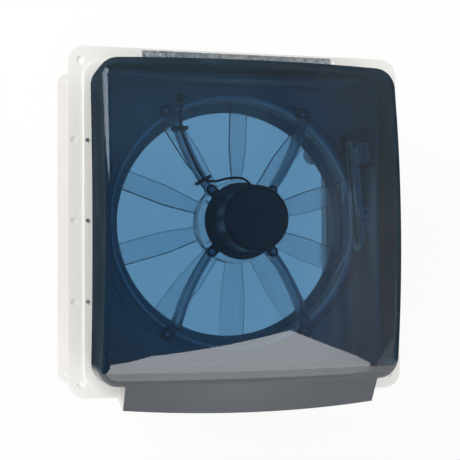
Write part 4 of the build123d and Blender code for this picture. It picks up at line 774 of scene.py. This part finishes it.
def new_piece(name: str, mesh: bmesh.types.BMesh, finish: Finish, body: str) -> bpy.types.Object:
    """Turns a built mesh into a piece that rides on a body.

    Args:
        name: the piece's name.
        mesh: the mesh, in the row frame; it is freed here.
        finish: its finish.
        body: the body that it rides on.

    Returns:
        The piece.
    """
    piece = new_object(name, mesh, finish.material())
    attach(piece, body)
    LOG.info("%s: new piece, %d faces, %s", name, len(piece.data.polygons), finish.name)
    return piece


def new_sheet(name: str, finish: str, outline: Iterable[Span],
              level: float) -> Tuple[bpy.types.Object, Board]:
    """Adds a level sheet of one face.

    Args:
        name: the sheet's name.
        finish: its material's name.
        outline: its corners in turn, in metres; it faces up if they run anticlockwise from above.
        level: its height, in metres.

    Returns:
        The sheet and the empty board of its material.
    """
    mesh = bmesh.new()
    mesh.faces.new([mesh.verts.new((x, y, level)) for x, y in outline])
    material = bpy.data.materials.new(finish)
    return new_object(name, mesh, material), Board(material)


@dataclass
class RoofBase:
    """The flange, coaming and neck with the seal, the small screws and the fan's shroud."""

    rubber: Tuple[str, ...] = ("lid_seal", "supply_grommet", "lead_grommet")
    screws: Tuple[str, ...] = ("flange_side_screws", "shroud_screws")

    def build(self) -> None:
        """Dresses the base's pieces."""
        dress(BODY_WHITE, ["base_frame"])
        dress(SEAL_BLACK, self.rubber)
        dress(SCREW_ZINC, self.screws)
        dress(SHROUD_GREY, ["fan_shroud"])


@dataclass
class Lid:
    """The tinted lid."""

    def build(self) -> None:
        """Dresses the lid."""
        dress(LID_BLUE, ["lid_dome"])


@dataclass
class Hinge:
    """The long rear hinge: two leaves, their pin and their rivets."""

    leaves: Tuple[str, ...] = ("hinge_fixed_leaf", "hinge_moving_leaf")
    rivets: Tuple[str, ...] = ("fixed_leaf_rivets", "moving_leaf_rivets")

    def build(self) -> None:
        """Dresses the hinge."""
        dress(ZINC_SHEET, self.leaves)
        dress(SHAFT_STEEL, ["hinge_pin"])
        dress(RIVET_ALLOY, self.rivets)


@dataclass
class FanUnit:
    """Fan, motor and the four struts that carry them, with the motor's lead."""

    struts: Tuple[str, ...] = (
        "motor_strut_rear_right", "motor_strut_rear_left",
        "motor_strut_front_right", "motor_strut_front_left")
    fasteners: Tuple[str, ...] = ("strut_screws", "motor_screws", "fan_nut")

    def build(self) -> None:
        """Dresses the fan unit."""
        dress(FAN_CLEAR, ["fan_rotor"])
        dress(STRUT_CLEAR, self.struts)
        dress(MOTOR_DARK, ["motor_can", "motor_flange"])
        dress(MAGNET_DARK, ["motor_magnets"])
        dress(ARMATURE_IRON, ["motor_armature"])
        dress(BUSH_BRASS, ["motor_bearings"])
        dress(SHAFT_STEEL, ["motor_shaft"])
        dress(SCREW_ZINC, self.fasteners)
        dress(SHEATH_BLACK, ["motor_lead"])
        dress(TIE_BLACK, ["cable_ties"])


@dataclass
class LidLift:
    """Track, arm, worm gear and crank."""

    sheet: Tuple[str, ...] = ("track_plate", "lift_arm")
    steel: Tuple[str, ...] = ("arm_pin", "pivot_shaft", "worm_shaft")
    screws: Tuple[str, ...] = ("track_screws", "gear_case_screws", "crank_screw")

    def build(self) -> None:
        """Dresses the lift."""
        dress(PLATED_SHEET, self.sheet)
        dress(SHAFT_STEEL, self.steel)
        dress(BUSH_BRASS, ["gear_bushes", "worm_wheel"])
        dress(CASE_BLACK, ["gear_case_body", "gear_case_cover"])
        dress(SCREW_ZINC, self.screws)
        dress(KNOB_WHITE, ["crank_knob"])


@dataclass
class InteriorTrim:
    """The trim with its screen, turn buttons and the control box."""

    net_cells: int = 24
    net_sag: float = 0.8 * MM
    net_corner: float = 98.0 * MM

    def build(self) -> None:
        """Dresses the trim and weaves the screen's mesh."""
        dress(TRIM_WHITE, ["trim_frame"])
        dress(SCREEN_WHITE, ["insect_screen_frame"])
        dress(SCREEN_WHITE, ["screen_button_" + side.value for side in Side])
        dress(SCREW_ZINC, ["trim_screws", "button_screws"])
        dress(CASE_BLACK, ["control_box", "fuse_cap"])
        dress(KNOB_WHITE, ["speed_knob"])
        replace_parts(self.net(), "insect_screen_net")

    def net(self) -> bpy.types.Object:
        """The fine mesh in the screen's seat, slack by less than a millimetre.

        Returns:
            The net piece.
        """
        low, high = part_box("insect_screen_net")
        middle = (low.z + high.z) / 2
        half = (high.x - low.x) / 2
        straight = half - self.net_corner
        mesh = bmesh.new()
        rows: List[List[bmesh.types.BMVert]] = []
        for row in range(self.net_cells + 1):
            v = row / self.net_cells
            y = low.y + (high.y - low.y) * v
            rise = max(0.0, abs(y) - straight)
            reach = straight + math.sqrt(max(0.0, self.net_corner ** 2 - rise ** 2))
            line = []
            for column in range(self.net_cells + 1):
                u = column / self.net_cells
                slack = self.net_sag * math.sin(math.pi * u) * math.sin(math.pi * v)
                line.append(mesh.verts.new((reach * (2 * u - 1), y, middle - slack / 2)))
            rows.append(line)
        for below, above in zip(rows, rows[1:]):
            for a, b, c, d in zip(below, below[1:], above[1:], above):
                mesh.faces.new((a, b, c, d))
        for face in mesh.faces:
            face.smooth = True
        return new_piece("insect_net", mesh, NET_FIBRE, "base")


@dataclass(frozen=True)
class Room:
    """What glossy surfaces reflect: walls, a dim ceiling, a folded curtain, a window and a dark side.

    It goes by direction: X is to the right, Y to the rear and Z up, and the numbers of a direction of
    length one decide where each thing starts and is whole.
    """

    walls: Tuple[Tuple[float, Colour], ...] = (
        (0.0, (0.85, 0.86, 0.88)), (0.45, (0.75, 0.76, 0.78)), (0.75, (0.35, 0.36, 0.38)),
        (1.0, (0.08, 0.09, 0.10)))
    curtain: Colour = (0.95, 0.92, 0.89)
    curtain_edges: Span = (0.30, 0.62)
    curtain_fade_edges: Span = (0.05, 0.32)
    curtain_fade: float = 0.75
    folds: Pattern = Pattern(1.0, 2.0, (0.25, 0.80))
    folds_across: float = 34.0
    folds_along: float = 2.5
    fold_depth: Span = (0.35, 1.0)
    window: Colour = (0.40, 0.55, 0.64)
    window_foot: Span = (0.12, 0.40)
    window_side: Span = (0.20, 0.40)
    window_share: float = 0.9
    dark_side: Colour = (0.10, 0.12, 0.14)
    dark_edges: Span = (0.30, 0.65)

    def seen(self, board: Board) -> Signal:
        """Adds the room to the world's board.

        Args:
            board: the world's board.

        Returns:
            The room's colour in each direction.
        """
        x, y, up = board.axes(board.node("ShaderNodeTexCoord", {}, {}, "Generated"))
        room = board.node("ShaderNodeValToRGB", {"stops": self.walls}, {"Fac": up})
        window = y.sharpened(*self.window_foot) * (1.0 - x.sharpened(*self.window_side))
        room = board.blend(window * self.window_share, room, self.window)
        folds = board.noise(self.folds, board.joined(x * self.folds_across, y * self.folds_along, 0.0))
        curtain = x.sharpened(*self.curtain_edges) * folds.spread(*self.fold_depth)
        curtain = curtain * (1.0 - y.sharpened(*self.curtain_fade_edges) * self.curtain_fade)
        room = board.blend(curtain, room, self.curtain)
        return board.blend((-x).sharpened(*self.dark_edges), room, self.dark_side)


@dataclass(frozen=True)
class Lamp:
    """A soft square lamp that faces the object: its place and side in metres, its power in watts."""

    name: str
    place: Point
    side: float
    power: float

    def build(self) -> None:
        """Hangs the lamp."""
        data = bpy.data.lights.new(self.name, "AREA")
        data.shape = "SQUARE"
        data.size = self.side
        data.energy = self.power
        lamp = bpy.data.objects.new(self.name, data)
        lamp.location = self.place
        lamp.rotation_euler = (-Vector(self.place)).to_track_quat("-Z", "Y").to_euler()
        bpy.context.scene.collection.objects.link(lamp)


@dataclass
class Studio:
    """Camera, lamps, world and floor.

    Angles are in degrees, and lens and sensor in millimetres, as a camera has them. floor_white is
    the share of plain white that the camera sees in the floor.
    """

    target: Point = (-11.43 * MM, -10.35 * MM, 0.0)
    swing: float = 14.359
    rise: float = 2.447
    roll: float = -0.476
    distance: float = 1255.2 * MM
    lens: float = 79.65
    sensor: float = 36.0
    floor_size: float = 8.0
    floor_paint: Colour = (0.8, 0.8, 0.8)
    floor_white: float = 0.80
    world_light: float = 1.02
    room: Room = Room()
    card_level: float = 1.2
    card_colour: Colour = (0.98, 0.99, 1.0)
    card_light: float = 6.5
    card_outline: Tuple[Span, ...] = (
        (0.52, -0.58), (1.31, -0.93), (1.80, -2.60), (-3.00, -2.60), (-2.20, -1.80), (-0.75, -0.90),
        (-0.29, -0.73))
    card_hidden_from: Tuple[str, ...] = (
        "camera", "diffuse", "transmission", "shadow", "volume_scatter")
    lamps: Tuple[Lamp, ...] = (
        Lamp("key", (-2.0, 1.3, 1.0), side=1.6, power=36.0),
        Lamp("fill", (2.1, -1.2, 0.8), side=1.6, power=6.0))

    def build(self) -> None:
        """Sets up everything round the object."""
        self.camera()
        self.world()
        self.floor()
        self.card()
        for lamp in self.lamps:
            lamp.build()
        bpy.context.scene.view_settings.view_transform = "Standard"

    def camera(self) -> None:
        """Places the camera where the photograph was taken from."""
        swing, rise, roll = (math.radians(value) for value in (self.swing, self.rise, self.roll))
        level = math.cos(rise)
        look = Vector((math.sin(swing) * level, math.sin(rise), -math.cos(swing) * level))
        right = look.cross(Vector((0.0, 1.0, 0.0))).normalized()
        up = right.cross(look)
        tilted_right = right * math.cos(roll) + up * math.sin(roll)
        tilted_up = up * math.cos(roll) - right * math.sin(roll)
        data = bpy.data.cameras.new("camera")
        data.lens = self.lens
        data.sensor_width = self.sensor
        camera = bpy.data.objects.new("camera", data)
        turn = Matrix((tilted_right, tilted_up, -look)).transposed().to_4x4()
        camera.matrix_world = Matrix.Translation(Vector(self.target) - look * self.distance) @ turn
        bpy.context.scene.collection.objects.link(camera)
        bpy.context.scene.camera = camera

    def world(self) -> None:
        """An even pale light that the camera sees as white, and glossy surfaces as the room."""
        world = bpy.data.worlds.new("room")
        bpy.context.scene.world = world
        board = Board(world)
        even = (self.world_light,) * 3
        colour = board.blend(board.ray(Ray.GLOSSY), even, self.room.seen(board))
        seen = board.ray(Ray.CAMERA) | board.ray(Ray.TRANSMISSION)
        colour = board.blend(seen, colour, WHITE)
        background = board.node("ShaderNodeBackground", {}, {"Color": colour, "Strength": 1.0})
        board.node("ShaderNodeOutputWorld", {}, {"Surface": background})

    def floor(self) -> None:
        """A pale floor: white from above apart from the object's shadow, and clear from below."""
        half = self.floor_size / 2
        corners = [(-half, -half), (half, -half), (half, half), (-half, half)]
        floor, board = new_sheet("floor", "pale floor", corners, CAD_BOX[0][2])
        camera = board.ray(Ray.CAMERA)
        seen = camera * self.floor_white | board.ray(Ray.TRANSMISSION)
        paint = board.node("ShaderNodeBsdfDiffuse", {}, {"Color": self.floor_paint})
        under = board.node("ShaderNodeNewGeometry", {}, {}, "Backfacing") * camera
        clear = board.node("ShaderNodeBsdfTransparent", {}, {})
        board.surface(board.either(under, board.either(seen, paint, board.glow(WHITE, 1.0)), clear))
        floor.visible_diffuse = False

    def card(self) -> None:
        """A white card over the front, seen only as its reflection in glossy pieces."""
        card, board = new_sheet("white_card", "white card", self.card_outline, self.card_level)
        for ray in self.card_hidden_from:
            setattr(card, "visible_" + ray, False)
        board.surface(board.glow(self.card_colour, self.card_light))


def main() -> None:
    """Builds the studio and every sub-assembly in order."""
    logging.basicConfig(level=logging.INFO, format="%(name)s %(message)s")
    Studio().build()
    for assembly in (RoofBase(), Lid(), Hinge(), FanUnit(), LidLift(), InteriorTrim()):
        assembly.build()
        LOG.info("%s built", type(assembly).__name__)


if __name__ == "__main__":
    main()
